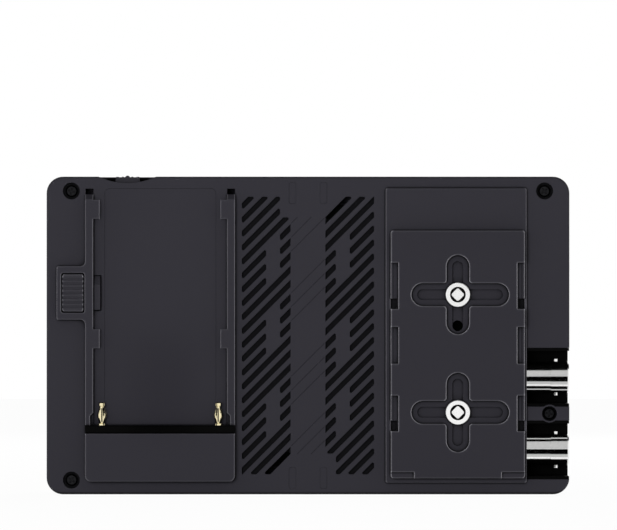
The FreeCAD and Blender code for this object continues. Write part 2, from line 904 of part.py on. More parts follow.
def battery_plate():
    """Rails, hooks, latch housing and contact block in one moulding."""
    left = left_rail()
    right = mirrored_x(left, bay_mid_x)
    housing = round_plate(
        housing_x0, rail_l_out + rail_thick / 2, latch_z - housing_length / 2, latch_z + housing_length / 2,
        housing_corner, rail_y, back_y)
    web = block(rail_l_out, rail_r_out, back_y - web_thick, back_y, block_z1, stop_z)
    tenons = [block(x0, x1, back_y, inner_y, z0, z1) for x0, x1, z0, z1 in tenon_places()]
    plate = left.fuse([right, housing, web, contact_block()] + tenons).removeSplitter()
    inner_corners = [
        edge for edge in edges_along(plate, AXIS_Y)
        if abs(edge.BoundBox.Center.x - rail_l_out) < same_place
        and abs(abs(edge.BoundBox.Center.z - latch_z) - housing_length / 2) < same_place
    ]
    plate = plate.makeFillet(housing_blend, inner_corners)
    hole = round_plate(
        button_x0 - button_gap, button_x1 + button_gap, button_z0 - button_gap, button_z1 + button_gap,
        button_corner, rail_y - overrun, back_y + overrun)
    return one_solid(plate.cut(hole))


def battery_latch():
    """Ribbed button, the arm under the rail and the ramped tooth."""
    top = rail_y - button_proud
    button = round_plate(button_x0, button_x1, button_z0, button_z1, button_corner, top, arm_y1)
    pitch = button_length / button_ribs
    grooves = [
        rod_x(top - groove_radius + groove_depth, button_z0 + pitch * count, groove_radius,
              button_x0 - overrun, button_x1 + overrun)
        for count in range(1, button_ribs)
    ]
    arm = block(
        button_x0 - arm_flange, tooth_x1, arm_y0, arm_y1, button_z0 - arm_flange, button_z1 + arm_flange)
    tooth_y = back_y - tooth_height
    tooth = prism_x(
        [(arm_y1, tooth_z0), (tooth_y, tooth_z0), (tooth_y, tooth_z1 - tooth_ramp), (back_y, tooth_z1),
         (arm_y1, tooth_z1)],
        tooth_x0, tooth_x1)
    return one_solid(button.cut(grooves).fuse([arm, tooth]).removeSplitter())


def coil_spring(x, z, y0, y1):
    """A compression spring along Y between two faces."""
    rise = y1 - y0 - 2 * (spring_wire_radius + seat_gap)
    helix = Part.makeHelix(rise / spring_turns, rise, spring_radius)
    section = Part.Wire(Part.makeCircle(spring_wire_radius, V(spring_radius, 0, 0), AXIS_Y))
    coil = Part.Wire(helix).makePipeShell([section], True, False)
    coil.rotate(V(0, 0, 0), AXIS_X, -90)
    coil.translate(V(x, y0 + spring_wire_radius + seat_gap, z))
    return coil


def latch_springs():
    """The pair of springs behind the latch."""
    return Part.makeCompound([
        coil_spring(button_mid_x, latch_z + side * spring_spread, arm_y1, retainer_y0) for side in (-1, 1)
    ])


def latch_retainer():
    """The bar that the springs push against, with a peg in each spring."""
    reach = retainer_reach + retainer_boss_radius
    bar = round_plate(
        button_mid_x - retainer_boss_radius, retainer_x + retainer_boss_radius,
        latch_z - reach, latch_z + reach,
        housing_corner, retainer_y0, retainer_y1)
    pegs = [
        rod_y(button_mid_x, latch_z + side * spring_spread, peg_radius, retainer_y0 - peg_length, retainer_y1)
        for side in (-1, 1)
    ]
    holes = [
        rod_y(retainer_x, z, small_shank_radius + seat_gap, retainer_y0 - overrun, retainer_y1 + overrun)
        for z in retainer_places
    ]
    return one_solid(bar.fuse(pegs).cut(holes))


def latch_screws():
    """The retainer's screws, put in from the screen side."""
    screws = small_screws([(retainer_x, z) for z in retainer_places], retainer_y1, small_screw_reach)
    return screws.mirror(V(0, retainer_y1, 0), AXIS_Y)


def contact_bar():
    """The black bar with a seat for each battery pin."""
    bar = block(rail_l_out, rail_r_out, back_y - bar_height, back_y - web_thick, block_z1, stop_z)
    bar = soften(bar, back_y - bar_height, edge_break)
    seats = [
        rod_z(bay_mid_x + side * pin_spacing / 2, back_y - pin_rise, pin_radius + seat_gap,
              stop_z - pin_root, stop_z + overrun)
        for side in (-1, 1)
    ]
    return one_solid(bar.cut(seats))


def battery_pin(x):
    """A pin with a slotted bulge that springs into the battery's socket."""
    y = back_y - pin_rise
    outline = [
        V(x, y, stop_z - pin_root), V(x + pin_radius, y, stop_z - pin_root), V(x + pin_radius, y, stop_z)]
    for rise_share, radius_share in pin_profile_shares:
        outline.append(V(x + pin_bulge_radius * radius_share, y, stop_z + pin_length * rise_share))
    outline.append(V(x, y, stop_z + pin_length))
    pin = turned(outline, V(x, y, 0), AXIS_Z)
    low, high = [stop_z + pin_length * share for share in pin_slot_shares]
    slots = [
        block(x - pin_bulge_radius, x + pin_bulge_radius, y - pin_slot / 2, y + pin_slot / 2, low, high),
        block(x - pin_slot / 2, x + pin_slot / 2, y - pin_bulge_radius, y + pin_bulge_radius, low, high),
    ]
    return one_solid(pin.cut(slots))


def battery_pins():
    """Both battery pins."""
    return Part.makeCompound([battery_pin(bay_mid_x + side * pin_spacing / 2) for side in (-1, 1)])


# Accessory plate

def cross_prism(z, arm, shrink, y0, y1):
    """A cross of two slots about one screw, with round inner corners."""
    radius = arm / 2
    across = slot_prism(
        (plate_mid_x - cross_left + shrink + radius, z),
        (plate_mid_x + cross_right - shrink - radius, z), radius, y0, y1)
    upright = slot_prism(
        (plate_mid_x, z - cross_up + shrink + radius),
        (plate_mid_x, z + cross_up - shrink - radius), radius, y0, y1)
    cross = across.fuse(upright).removeSplitter()
    corners = [
        edge for edge in edges_along(cross, AXIS_Y)
        if abs(abs(edge.BoundBox.Center.x - plate_mid_x) - radius) < same_place
        and abs(abs(edge.BoundBox.Center.z - z) - radius) < same_place
    ]
    return cross.makeFillet(min(cross_fillet, radius / 2), corners)


def pocket_holes(y0, y1):
    """The holes at the lower ends of the left pockets, open to the plate's side."""
    x0 = plate_mid_x - plate_width / 2
    holes = []
    for low, high, has_hole in pocket_shares:
        if has_hole:
            z0 = plate_z0 + plate_length * low
            hole = block(x0, x0 + pocket_hole_width, y0, y1, z0, z0 + pocket_hole_length)
            corner = [
                edge for edge in edges_along(hole, AXIS_Y)
                if edge.BoundBox.XMin > x0 + same_place and edge.BoundBox.ZMax < z0 + same_place
            ]
            holes.append(hole.makeFillet(pocket_hole_corner, corner))
    return holes


def pocket_cutters():
    """The stepped pockets, their holes and the corner notch down the left side of the accessory plate."""
    x0 = plate_mid_x - plate_width / 2
    cutters = pocket_holes(plate_y - overrun, pad_y + overrun)
    for low, high, has_hole in pocket_shares:
        z0 = plate_z0 + plate_length * low
        z1 = plate_z0 + plate_length * high
        cutters.append(block(
            x0 - overrun, x0 + pocket_depth, plate_y - overrun, plate_y + pocket_drop, z0, z1))
        cutters.append(block(
            x0 - overrun, x0 + pocket_step_width, plate_y, plate_y + pocket_drop + pocket_step_drop, z0, z1))
    cutters.append(block(
        x0 - overrun, x0 + notch_width, plate_y - overrun, plate_y + notch_drop,
        plate_z0 - overrun, plate_z0 + notch_length))
    return cutters


def accessory_plate():
    """The battery-shaped plate with pockets and stepped crosses."""
    plate = round_plate(
        plate_mid_x - plate_width / 2, plate_mid_x + plate_width / 2, plate_z0, plate_z1,
        plate_corner, plate_y, pad_y)
    plate = soften(plate, plate_y, edge_break)
    left = pocket_cutters()
    cutters = left + [mirrored_x(cutter, plate_mid_x) for cutter in left]
    step = (cross_arm - cross_inner_arm) / 2
    for z in cross_places:
        cutters.append(cross_prism(z, cross_arm, 0, plate_y - overrun, plate_y + cross_depth))
        cutters.append(cross_prism(z, cross_inner_arm, step, plate_y, plate_y + cross_depth + cross_step))
        cutters.append(rod_y(plate_mid_x, z, shank_radius + slip_gap, plate_y, pad_y + overrun))
        cutters.append(rod_y(plate_mid_x, z, head_radius + slip_gap, plate_y, plate_y + cross_depth))
    cutters.append(rod_y(
        plate_mid_x, cross_places[1] - spare_hole_drop, spare_hole_radius, plate_y, pad_y + overrun))
    return one_solid(plate.cut(cutters))


def plate_screw(z):
    """A socket screw that seats on the floor of its cross."""
    seat = plate_y + cross_depth
    end = inner_y + plate_boss_length - plate_insert_length + shank_into_insert
    head = rod_y(plate_mid_x, z, head_radius, seat - head_height, seat)
    head = soften(head, seat - head_height, edge_break)
    shank = rod_y(plate_mid_x, z, shank_radius, seat, end)
    corner = socket_flat / 2 / math.cos(math.pi / socket_sides)
    step = 2 * math.pi / socket_sides
    hexagon = [
        (plate_mid_x + corner * math.cos(step * count), z + corner * math.sin(step * count))
        for count in range(socket_sides)
    ]
    top = seat - head_height
    socket = prism_y(hexagon, top - overrun, top + socket_depth)
    rim = Part.makeCone(socket_rim_radius, corner, socket_rim_depth, V(plate_mid_x, top, z), AXIS_Y)
    return one_solid(head.fuse(shank).removeSplitter().cut([socket, rim]))


def plate_insert(z):
    """A threaded insert in the cover's boss."""
    end = inner_y + plate_boss_length
    ring = rod_y(plate_mid_x, z, plate_insert_radius, end - plate_insert_length, end)
    return one_solid(ring.cut(rod_y(plate_mid_x, z, shank_radius + seat_gap, inner_y, end + overrun)))


# Screws

def head_screw(x, z, seat, head_r, head_h, shank_r, end):
    """A screw along Y with its head behind the seat."""
    head = soften(rod_y(x, z, head_r, seat - head_h, seat), seat - head_h, head_h / 4)
    return one_solid(head.fuse(rod_y(x, z, shank_r, seat, end)).removeSplitter())


def case_screws():
    """The four screws that close the case."""
    seat = back_y + well_depth
    end = parting_y + case_screw_reach
    return Part.makeCompound([
        head_screw(x, z, seat, case_head_radius, case_head_height, case_shank_radius, end)
        for x, z, well, boss in case_screw_places
    ])


def small_screws(places, seat, reach):
    """A set of small screws along Y."""
    return Part.makeCompound([
        head_screw(x, z, seat, small_head_radius, small_head_height, small_shank_radius, seat + reach)
        for x, z in places
    ])


# Connector bays

def connector_tub(z0, z1):
    """A black tub behind one jack, open to the back and the side."""
    jack_z = (z0 + z1) / 2
    tub = block(
        bay_side_x, case_x1 - tub_inset, back_y + tub_inset, tub_floor_y1, z0 + seat_gap, z1 - seat_gap)
    room = block(pad_x1, case_x1, back_y, tub_floor_y0, z0 + tub_wall, z1 - tub_wall)
    under_pad = block(
        bay_side_x - overrun, pad_x1 + seat_gap, back_y, inner_y + seat_gap, z0 - overrun, z1 + overrun)
    hole = rod_x(jack_y, jack_z, barrel_neck_radius + seat_gap, bay_side_x - overrun, pad_x1 + overrun)
    x, z, well, boss = case_screw_places[3]
    column = rod_y(x, z, boss + seat_gap, back_y, parting_y)
    return one_solid(tub.cut([room, under_pad, hole, column]))


def bayonet_jack(z):
    """A bayonet jack on a body block, with its two lugs."""
    neck_x = jack_nose_x - barrel_lip
    body_x1 = bay_side_x - seat_gap
    root_x = body_x1 - jack_body_length / 2
    profile = [
        V(root_x, jack_y, z), V(root_x, jack_y + barrel_neck_radius, z),
        V(neck_x, jack_y + barrel_neck_radius, z), V(neck_x, jack_y + barrel_radius, z),
        V(jack_nose_x - barrel_chamfer, jack_y + barrel_radius, z),
        V(jack_nose_x, jack_y + barrel_radius - barrel_chamfer, z), V(jack_nose_x, jack_y, z),
    ]
    barrel = turned(profile, V(0, jack_y, z), AXIS_X)
    body = block(
        body_x1 - jack_body_length, body_x1, jack_y - jack_body_back, board_y0,
        z - jack_body_half, z + jack_body_half)
    lugs = rod_z(jack_nose_x - lug_setback, jack_y, lug_radius, z - lug_reach, z + lug_reach)
    bore = rod_x(jack_y, z, barrel_bore_radius, jack_nose_x - barrel_bore_depth, jack_nose_x + overrun)
    return one_solid(barrel.fuse([body, lugs]).removeSplitter().cut(bore))


def jack_insulator(z):
    """The white insulator on the floor of a jack's bore."""
    floor = jack_nose_x - barrel_bore_depth
    base = rod_x(jack_y, z, barrel_bore_radius - seat_gap, floor, floor + insulator_base)
    sleeve = rod_x(jack_y, z, insulator_radius, floor, jack_nose_x - insulator_setback)
    hole = rod_x(jack_y, z, contact_radius + seat_gap, floor - overrun, jack_nose_x)
    return one_solid(base.fuse(sleeve).removeSplitter().cut(hole))


def jack_contact(z):
    """The gold socket contact in the middle of a jack."""
    floor = jack_nose_x - barrel_bore_depth
    end = jack_nose_x - insulator_setback
    contact = rod_x(jack_y, z, contact_radius, floor, end)
    return one_solid(contact.cut(rod_x(
        jack_y, z, contact_bore_radius, end - contact_bore_depth, end + overrun)))


# Jog lever

def jog_lever():
    """The lever: ridged cap with a centre nub between two small ones, stem and hub."""
    half_top = cap_top / 2
    half_base = cap_base / 2
    dip = half_top - ridge_width - ridge_height
    outline = [
        (-half_base, -cap_height), (-half_top, 0), (-half_top + ridge_width, 0), (-dip, -ridge_height),
        (dip, -ridge_height), (half_top - ridge_width, 0), (half_top, 0), (half_base, -cap_height),
    ]
    cap = prism_y([(jog_x + x, case_z1 + z) for x, z in outline], cap_y0, cap_y1)
    nubs = [rod_y(jog_x, case_z1 + nub_proud - nub_radius, nub_radius, cap_y0, cap_y1)]
    nubs += [
        rod_y(jog_x + side * side_nub_offset, case_z1 + side_nub_proud - side_nub_radius, side_nub_radius,
              cap_y0, cap_y1)
        for side in (-1, 1)
    ]
    stem = block(
        jog_x - stem_width / 2, jog_x + stem_width / 2, hub_y0, hub_y1, pivot_z, case_z1 - ridge_height)
    hub = rod_y(jog_x, pivot_z, hub_radius, hub_y0, hub_y1)
    bore = rod_y(jog_x, pivot_z, pivot_radius + bore_gap, hub_y0 - overrun, hub_y1 + overrun)
    return one_solid(cap.fuse(nubs + [stem, hub]).removeSplitter().cut(bore))


def jog_carriage():
    """The fork that holds the lever's pin, on a plunger that presses down."""
    fork = block(jog_x - ear_half, jog_x + ear_half, ear_y0, ear_y1, carriage_z0, pivot_z + ear_cap)
    room = block(
        jog_x - ear_half - overrun, jog_x + ear_half + overrun, hub_y0 - slip_gap, hub_y1 + slip_gap,
        carriage_z1, pivot_z + ear_cap + overrun)
    plunger = rod_z(jog_x, (hub_y0 + hub_y1) / 2, plunger_radius, carriage_z0 - plunger_length, carriage_z0)
    hole = rod_y(jog_x, pivot_z, pivot_radius, ear_y0 - overrun, ear_y1 + overrun)
    return one_solid(fork.cut(room).fuse(plunger).removeSplitter().cut(hole))


def jog_switch():
    """The switch body on the board, with the plunger's bore and the upright wall behind the lever."""
    body = block(jog_x - switch_half, jog_x + switch_half, ear_y0, board_y0, switch_z0, switch_z1)
    wall = block(
        jog_x - switch_wall_half, jog_x + switch_wall_half, ear_y1 + slip_gap, scoop_y1,
        switch_z0, case_z1 - switch_wall_drop)
    bore_z0 = carriage_z0 - plunger_length - jog_press - slip_gap
    bore = rod_z(jog_x, (hub_y0 + hub_y1) / 2, plunger_radius + bore_gap, bore_z0, switch_z1 + overrun)
    return one_solid(body.fuse(wall).removeSplitter().cut(bore))


# Screen stack

def bezel_ring(inset, thick, y0, y1):
    """A thin ring round the inside of the case outline."""
    outer = round_plate(
        case_x0 + inset, case_x1 - inset, inset, case_z1 - inset, case_corner - inset, y0, y1)
    inner = inset + thick
    hole = round_plate(
        case_x0 + inner, case_x1 - inner, inner, case_z1 - inner, case_corner - inner,
        y0 - overrun, y1 + overrun)
    return outer.cut(hole)


def bezel_lip():
    """The lip that locates the bezel in the rear cover, cut back round what stands there."""
    lip = bezel_ring(cover_wall + seat_gap, lip_thick, parting_y - lip_depth, parting_y + lip_depth)
    y0 = parting_y - lip_depth - overrun
    cutters = [
        rod_y(x, z, boss + slip_gap, y0, parting_y) for x, z, well, boss in case_screw_places
    ]
    reach = thread_boss_radius + slip_gap
    cutters.append(block(-reach, reach, y0, parting_y, 0, thread_boss_top))
    cutters.append(block(
        case_x1 - thread_boss_top, case_x1, y0, parting_y,
        side_thread_rise - reach, side_thread_rise + reach))
    cutters.append(block(bay_side_x, case_x1, y0, parting_y, 0, bay_top + slip_gap))
    return lip.cut(cutters)


def lcd_locator():
    """The rib round the display panel, open where the ribbon leaves."""
    x0 = lcd_x0 - lcd_gap
    x1 = lcd_x1 + lcd_gap
    y0 = lcd_y1 - lcd_rib_depth
    rib = block(
        x0 - lcd_rib, x1 + lcd_rib, y0, lcd_y1, lcd_z0 - lcd_gap - lcd_rib, lcd_z1 + lcd_gap + lcd_rib)
    room = block(x0, x1, y0 - overrun, lcd_y1, lcd_z0 - lcd_gap, lcd_z1 + lcd_gap)
    gate = block(
        ribbon_start - slip_gap, ribbon_start + ribbon_width + slip_gap,
        y0 - overrun, lcd_y1, 0, lcd_z0 + overrun)
    return rib.cut([room, gate])


def front_bezel():
    """The front frame with the glass pocket, screen window, bosses and lip."""
    outer = round_plate(case_x0, case_x1, 0, case_z1, case_corner, parting_y, front_y)
    outer = soften(outer, front_y, case_edge)
    cavity = round_plate(
        case_x0 + bezel_wall, case_x1 - bezel_wall, bezel_wall, case_z1 - bezel_wall,
        case_corner - bezel_wall, parting_y - overrun, lcd_y1)
    rim = glass_rim - seat_gap
    pocket = round_plate(
        case_x0 + rim, case_x1 - rim, rim, case_z1 - rim, glass_corner, ledge_y1, front_y + overrun)
    window = round_plate(
        lcd_x0 + window_side_lap, lcd_x1 - window_side_lap, lcd_z0 + window_edge_lap,
        lcd_z1 - window_edge_lap, window_corner, lcd_y1 - overrun, front_y + overrun)
    frame = outer.cut([cavity, pocket, window])
    bosses = [rod_y(x, z, boss, parting_y, lcd_y1) for x, z, well, boss in case_screw_places]
    bosses += [rod_y(x, z, chassis_boss_radius, chassis_y1, lcd_y1) for x, z in chassis_screw_places]
    frame = frame.fuse(bosses + [bezel_lip(), lcd_locator()]).removeSplitter()
    pilots = [
        rod_y(x, z, case_shank_radius + seat_gap, parting_y - overrun, parting_y + case_screw_reach + seat_gap)
        for x, z, well, boss in case_screw_places
    ]
    pilots += [
        rod_y(
            x, z, small_shank_radius + seat_gap,
            chassis_y1 - overrun, chassis_y0 + small_screw_reach + seat_gap)
        for x, z in chassis_screw_places
    ]
    return one_solid(frame.cut(pilots))


def cover_glass():
    """The cover glass in the bezel's pocket."""
    return round_plate(
        case_x0 + glass_rim, case_x1 - glass_rim, glass_rim, case_z1 - glass_rim, glass_corner,
        tape_y1, glass_y1)


def glass_tape():
    """The adhesive frame under the glass."""
    outer = round_plate(
        case_x0 + glass_rim, case_x1 - glass_rim, glass_rim, case_z1 - glass_rim, glass_corner,
        ledge_y1, tape_y1)
    inner = glass_rim + tape_width
    hole = round_plate(
        case_x0 + inner, case_x1 - inner, inner, case_z1 - inner, window_corner,
        ledge_y1 - overrun, tape_y1 + overrun)
    return outer.cut(hole)


def screen_layer(y0, y1):
    """A plate with the display panel's outline."""
    return round_plate(lcd_x0, lcd_x1, lcd_z0, lcd_z1, lcd_corner, y0, y1)


def chassis_plate():
    """The metal plate between screen and board, with pressed standoffs."""
    plate = round_plate(
        case_x0 + chassis_side, case_x1 - chassis_side, lcd_z0 - chassis_overlap, lcd_z1 + chassis_overlap,
        chassis_corner, chassis_y0, chassis_y1)
    standoffs = [rod_y(x, z, standoff_radius, board_y1, chassis_y0) for x, z in board_screw_places]
    plate = plate.fuse(standoffs).removeSplitter()
    hole = small_shank_radius + seat_gap
    holes = [
        rod_y(x, z, hole, board_y0, chassis_y1 + overrun) for x, z in board_screw_places + chassis_screw_places
    ]
    holes += [rod_y(x, z, boss + slip_gap, board_y0, chassis_y1 + overrun)
    for x, z, well, boss in case_screw_places]
    return one_solid(plate.cut(holes))


def main_board():
    """The circuit board with its screw holes."""
    board = round_plate(board_x0, board_x1, board_z0, board_z1, board_corner, board_y0, board_y1)
    holes = [
        rod_y(x, z, small_shank_radius + seat_gap, board_y0 - overrun, board_y1 + overrun)
        for x, z in board_screw_places
    ]
    return one_solid(board.cut(holes))


def chip(x, z, width, height, thick):
    """A component body on the back of the board."""
    body = block(x - width / 2, x + width / 2, board_y0 - thick, board_y0, z - height / 2, z + height / 2)
    return soften(body, board_y0 - thick, edge_break)


def board_chips():
    """Processor, memories, supply coils and the ribbon socket."""
    beside = processor_size / 2 + memory_width
    chips = [block(
        -processor_size / 2, processor_size / 2, processor_y, board_y0,
        mid_z - processor_size / 2, mid_z + processor_size / 2)]
    chips += [chip(side * beside, mid_z, memory_width, memory_height, memory_thick) for side in (-1, 1)]
    chips += [
        chip(bay_mid_x, mid_z + coil_pitch * (count - (coil_count - 1) / 2), coil_size, coil_size, coil_height)
        for count in range(coil_count)
    ]
    socket_z = board_z0 + ribbon_socket_lift
    chips.append(block(
        ribbon_start, ribbon_start + ribbon_width, board_y0 - ribbon_socket_depth, board_y0,
        socket_z, socket_z + ribbon_socket_height))
    return Part.makeCompound(chips)


def thermal_pad():
    """The soft pad between processor and heat sink."""
    half = processor_size / 2
    return round_plate(-half, half, mid_z - half, mid_z + half, edge_break, thermal_pad_y, processor_y)


def heat_sink():
    """The finned heat sink behind the vents."""
    half = vent_outer - sink_side
    base = block(-half, half, sink_y, thermal_pad_y, sink_margin, case_z1 - sink_margin)
    middle = (sink_fins - 1) / 2
    fins = [
        block(
            sink_fin_pitch * (count - middle) - sink_fin / 2, sink_fin_pitch * (count - middle) + sink_fin / 2,
              sink_y - sink_fin_height, sink_y, sink_margin, case_z1 - sink_margin)
        for count in range(sink_fins)
    ]
    return one_solid(base.fuse(fins).removeSplitter())


def display_ribbon():
    """The flat ribbon from the screen's lower edge round to the board."""
    front = (light_y1 + lcd_y1) / 2
    back = board_y0 - ribbon_socket_depth / 2
    low = lcd_z0 - ribbon_drop
    bend = ribbon_bend
    turn = bend * slant_share
    x = ribbon_start
    socket_z = board_z0 + ribbon_socket_lift
    edges = [
        Part.makeLine(V(x, front, lcd_z0), V(x, front, low + bend)),
        Part.Arc(
            V(x, front, low + bend),
            V(x, front - bend + turn, low + bend - turn), V(x, front - bend, low)).toShape(),
        Part.makeLine(V(x, front - bend, low), V(x, back + bend, low)),
        Part.Arc(
            V(x, back + bend, low),
            V(x, back + bend - turn, low + bend - turn), V(x, back, low + bend)).toShape(),
        Part.makeLine(V(x, back, low + bend), V(x, back, socket_z)),
    ]
    half = ribbon_thick / 2
    section = Part.makePolygon([
        V(x, front - half, lcd_z0), V(x + ribbon_width, front - half, lcd_z0),
        V(x + ribbon_width, front + half, lcd_z0), V(x, front + half, lcd_z0), V(x, front - half, lcd_z0),
    ])
    return Part.Wire(edges).makePipeShell([section], True, False)


# Side ports

def video_outline(z, grow):
    """The outline of a video socket, narrower towards the board."""
    y0 = board_y0 - video_height - grow
    y1 = board_y0 + grow
    half = video_width / 2 + grow
    return [
        (y0, z - half), (y0, z + half), (y1 - video_chamfer, z + half), (y1, z + half - video_chamfer),
        (y1, z - half + video_chamfer), (y1 - video_chamfer, z - half),
    ]


def video_port(z):
    """The folded metal shell of a video socket."""
    outer = prism_x(video_outline(z, 0), port_x0, port_x0 + video_depth)
    inner = prism_x(video_outline(z, -video_shell), port_x0 - overrun, port_x0 + video_depth - video_shell)
    return one_solid(outer.cut(inner))


def port_tongues():
    """The contact tongues inside the video sockets."""
    y = board_y0 - video_height / 2
    return Part.makeCompound([
        block(port_x0 + tongue_setback, port_x0 + video_depth - video_shell, y - tongue_thick / 2,
              y + tongue_thick / 2, z - tongue_width / 2, z + tongue_width / 2)
        for z in (video_in_z, video_out_z)
    ])


def round_jack(y, z, width, height, depth, collar, bore, bore_depth):
    """A jack body on the board with a round collar through the case wall."""
    wall_x = case_x0 + cover_wall + seat_gap
    body = block(wall_x, port_x0 + depth, board_y0 - height, board_y0, z - width / 2, z + width / 2)
    neck = rod_x(y, z, collar, port_x0, wall_x)
    hole = rod_x(y, z, bore, port_x0 - overrun, port_x0 + bore_depth)
    return one_solid(body.fuse(neck).removeSplitter().cut(hole))


def headphone_jack():
    """The headphone socket."""
    return round_jack(
        phone_y, phone_z, phone_width, phone_height, phone_depth, phone_collar_radius,
        phone_bore_radius, phone_bore_depth)


def power_jack():
    """The power socket."""
    return round_jack(
        power_y, power_z, power_width, power_height, power_depth, power_collar_radius,
        power_bore_radius, power_bore_depth)


def power_pin():
    """The pin in the middle of the power socket."""
    return rod_x(
        power_y, power_z, power_pin_radius, port_x0 + power_pin_setback, port_x0 + power_bore_depth)


# Tripod threads

def thread_insert():
    """A flanged insert in the bottom face, its thread as a plain hole."""
    body = rod_z(0, 0, insert_radius, 0, insert_length)
    flange = rod_z(0, 0, insert_flange_radius, 0, insert_flange)
    hole = rod_z(0, 0, thread_radius, -overrun, thread_depth)
    return one_solid(body.fuse(flange).removeSplitter().cut(hole))


def thread_inserts():
    """The bottom insert and its twin in the right side."""
    bottom = thread_insert()
    side = bottom.rotated(V(0, 0, 0), AXIS_Y, -90)
    side.translate(V(case_x1, 0, side_thread_rise))
    return Part.makeCompound([bottom, side])


def main():
    """Write every node."""
    os.makedirs("parts", exist_ok=True)
    save("rear_cover", rear_cover())
    save("vent_screens", vent_screens())
    save("battery_plate", battery_plate())
    save("battery_latch", battery_latch())
    save("latch_springs", latch_springs())
    save("latch_retainer", latch_retainer())
    save("latch_screws", latch_screws())
    save("contact_bar", contact_bar())
    save("battery_pins", battery_pins())
    save("accessory_plate", accessory_plate())
    save("plate_screws", Part.makeCompound([plate_screw(z) for z in cross_places]))
    save("plate_inserts", Part.makeCompound([plate_insert(z) for z in cross_places]))
    save("case_screws", case_screws())
    for name, (z0, z1) in zip(("sdi_out", "sdi_in"), bays):
        save(name + "_tub", connector_tub(z0, z1))
        save(name + "_jack", bayonet_jack((z0 + z1) / 2))
    jack_places = [(z0 + z1) / 2 for z0, z1 in bays]
    save("jack_insulators", Part.makeCompound([jack_insulator(z) for z in jack_places]))
    save("jack_contacts", Part.makeCompound([jack_contact(z) for z in jack_places]))
    save("jog_lever", jog_lever())
    save("jog_carriage", jog_carriage())
    save("jog_pin", rod_y(jog_x, pivot_z, pivot_radius, ear_y0, ear_y1))
    save("jog_switch", jog_switch())
    save("front_bezel", front_bezel())
    save("cover_glass", cover_glass())
    save("glass_tape", glass_tape())
    save("lcd_panel", screen_layer(light_y1, lcd_y1))
    save("backlight_unit", screen_layer(chassis_y1, light_y1))
    save("chassis_plate", chassis_plate())
    save("chassis_screws", small_screws(chassis_screw_places, chassis_y0, small_screw_reach))
    save("main_board", main_board())
    save("board_screws", small_screws(board_screw_places, board_y0, small_screw_reach))
    save("board_chips", board_chips())
    save("thermal_pad", thermal_pad())
    save("heat_sink", heat_sink())
    save("display_ribbon", display_ribbon())
    save("video_in_port", video_port(video_in_z))
    save("video_out_port", video_port(video_out_z))
    save("port_tongues", port_tongues())
    save("headphone_jack", headphone_jack())
    save("power_jack", power_jack())
    save("power_pin", power_pin())
    save("thread_inserts", thread_inserts())


main()
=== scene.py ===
# %% [markdown]
# # A camera field monitor, dressed from behind
# The solids of the monitor come from the construction frame, where every piece already has its
# real size and place. This lesson gives each piece its finish, models the small details that are
# too fine for the construction model, and sets up a plain studio with a camera behind the monitor.

# %% Load the frame
import bpy
import json
import math
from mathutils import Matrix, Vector

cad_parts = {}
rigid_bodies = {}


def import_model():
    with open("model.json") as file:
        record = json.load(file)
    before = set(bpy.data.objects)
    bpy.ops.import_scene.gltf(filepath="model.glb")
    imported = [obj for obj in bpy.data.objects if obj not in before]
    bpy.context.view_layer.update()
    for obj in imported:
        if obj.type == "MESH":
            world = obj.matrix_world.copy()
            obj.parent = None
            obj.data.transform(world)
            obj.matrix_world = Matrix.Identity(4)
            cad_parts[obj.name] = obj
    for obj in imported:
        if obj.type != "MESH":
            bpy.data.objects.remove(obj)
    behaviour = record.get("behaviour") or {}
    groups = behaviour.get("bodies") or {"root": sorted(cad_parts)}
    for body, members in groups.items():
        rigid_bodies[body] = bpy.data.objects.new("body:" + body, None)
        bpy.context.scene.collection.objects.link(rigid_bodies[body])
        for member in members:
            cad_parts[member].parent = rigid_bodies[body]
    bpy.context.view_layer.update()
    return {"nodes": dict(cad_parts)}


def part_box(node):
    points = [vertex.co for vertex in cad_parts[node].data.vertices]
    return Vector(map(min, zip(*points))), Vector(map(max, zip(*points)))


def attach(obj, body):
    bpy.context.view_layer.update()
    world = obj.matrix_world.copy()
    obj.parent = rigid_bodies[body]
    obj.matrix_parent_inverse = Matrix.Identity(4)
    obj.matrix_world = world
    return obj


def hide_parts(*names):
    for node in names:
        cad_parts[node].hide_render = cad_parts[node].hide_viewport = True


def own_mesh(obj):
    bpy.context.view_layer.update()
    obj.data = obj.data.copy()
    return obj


for thing in list(bpy.data.objects):
    bpy.data.objects.remove(thing)
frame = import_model()
nodes = frame["nodes"]
MM = 0.001


# %% [markdown]
# A material is a small tree of nodes. One function adds a node, gives it its settings and links
# what feeds it, so each recipe below reads from top to bottom. Colours are written as the hex
# values that a colour picker gives, and are turned to linear light once, here.


# %% Helpers for materials
def linear(hex_colour):
    """A hex colour as linear red, green, blue and alpha."""
    parts = [int(hex_colour[i:i + 2], 16) / 255 for i in (1, 3, 5)]
    return [p / 12.92 if p <= 0.04045 else ((p + 0.055) / 1.055) ** 2.4 for p in parts] + [1.0]


def add(tree, kind, settings, links):
    """Add one node: settings name its sockets or properties, links the sockets that feed it."""
    node = tree.nodes.new(kind)
    for key, value in settings.items():
        if isinstance(key, int) or key in node.inputs:
            node.inputs[key].default_value = value
        else:
            setattr(node, key, value)
    for key, source in links.items():
        tree.links.new(source, node.inputs[key])
    return node


def start_material(name):
    """An empty material, its tree and its output."""
    made = bpy.data.materials.new(name)
    made.use_nodes = True
    made.node_tree.nodes.clear()
    out = made.node_tree.nodes.new("ShaderNodeOutputMaterial")
    return made, made.node_tree, out


def dress(material, *names):
    """Give a material to construction nodes."""
    for name in names:
        mesh = nodes[name].data
        mesh.materials.clear()
        mesh.materials.append(material)
    print(material.name, "on", len(names), "nodes")
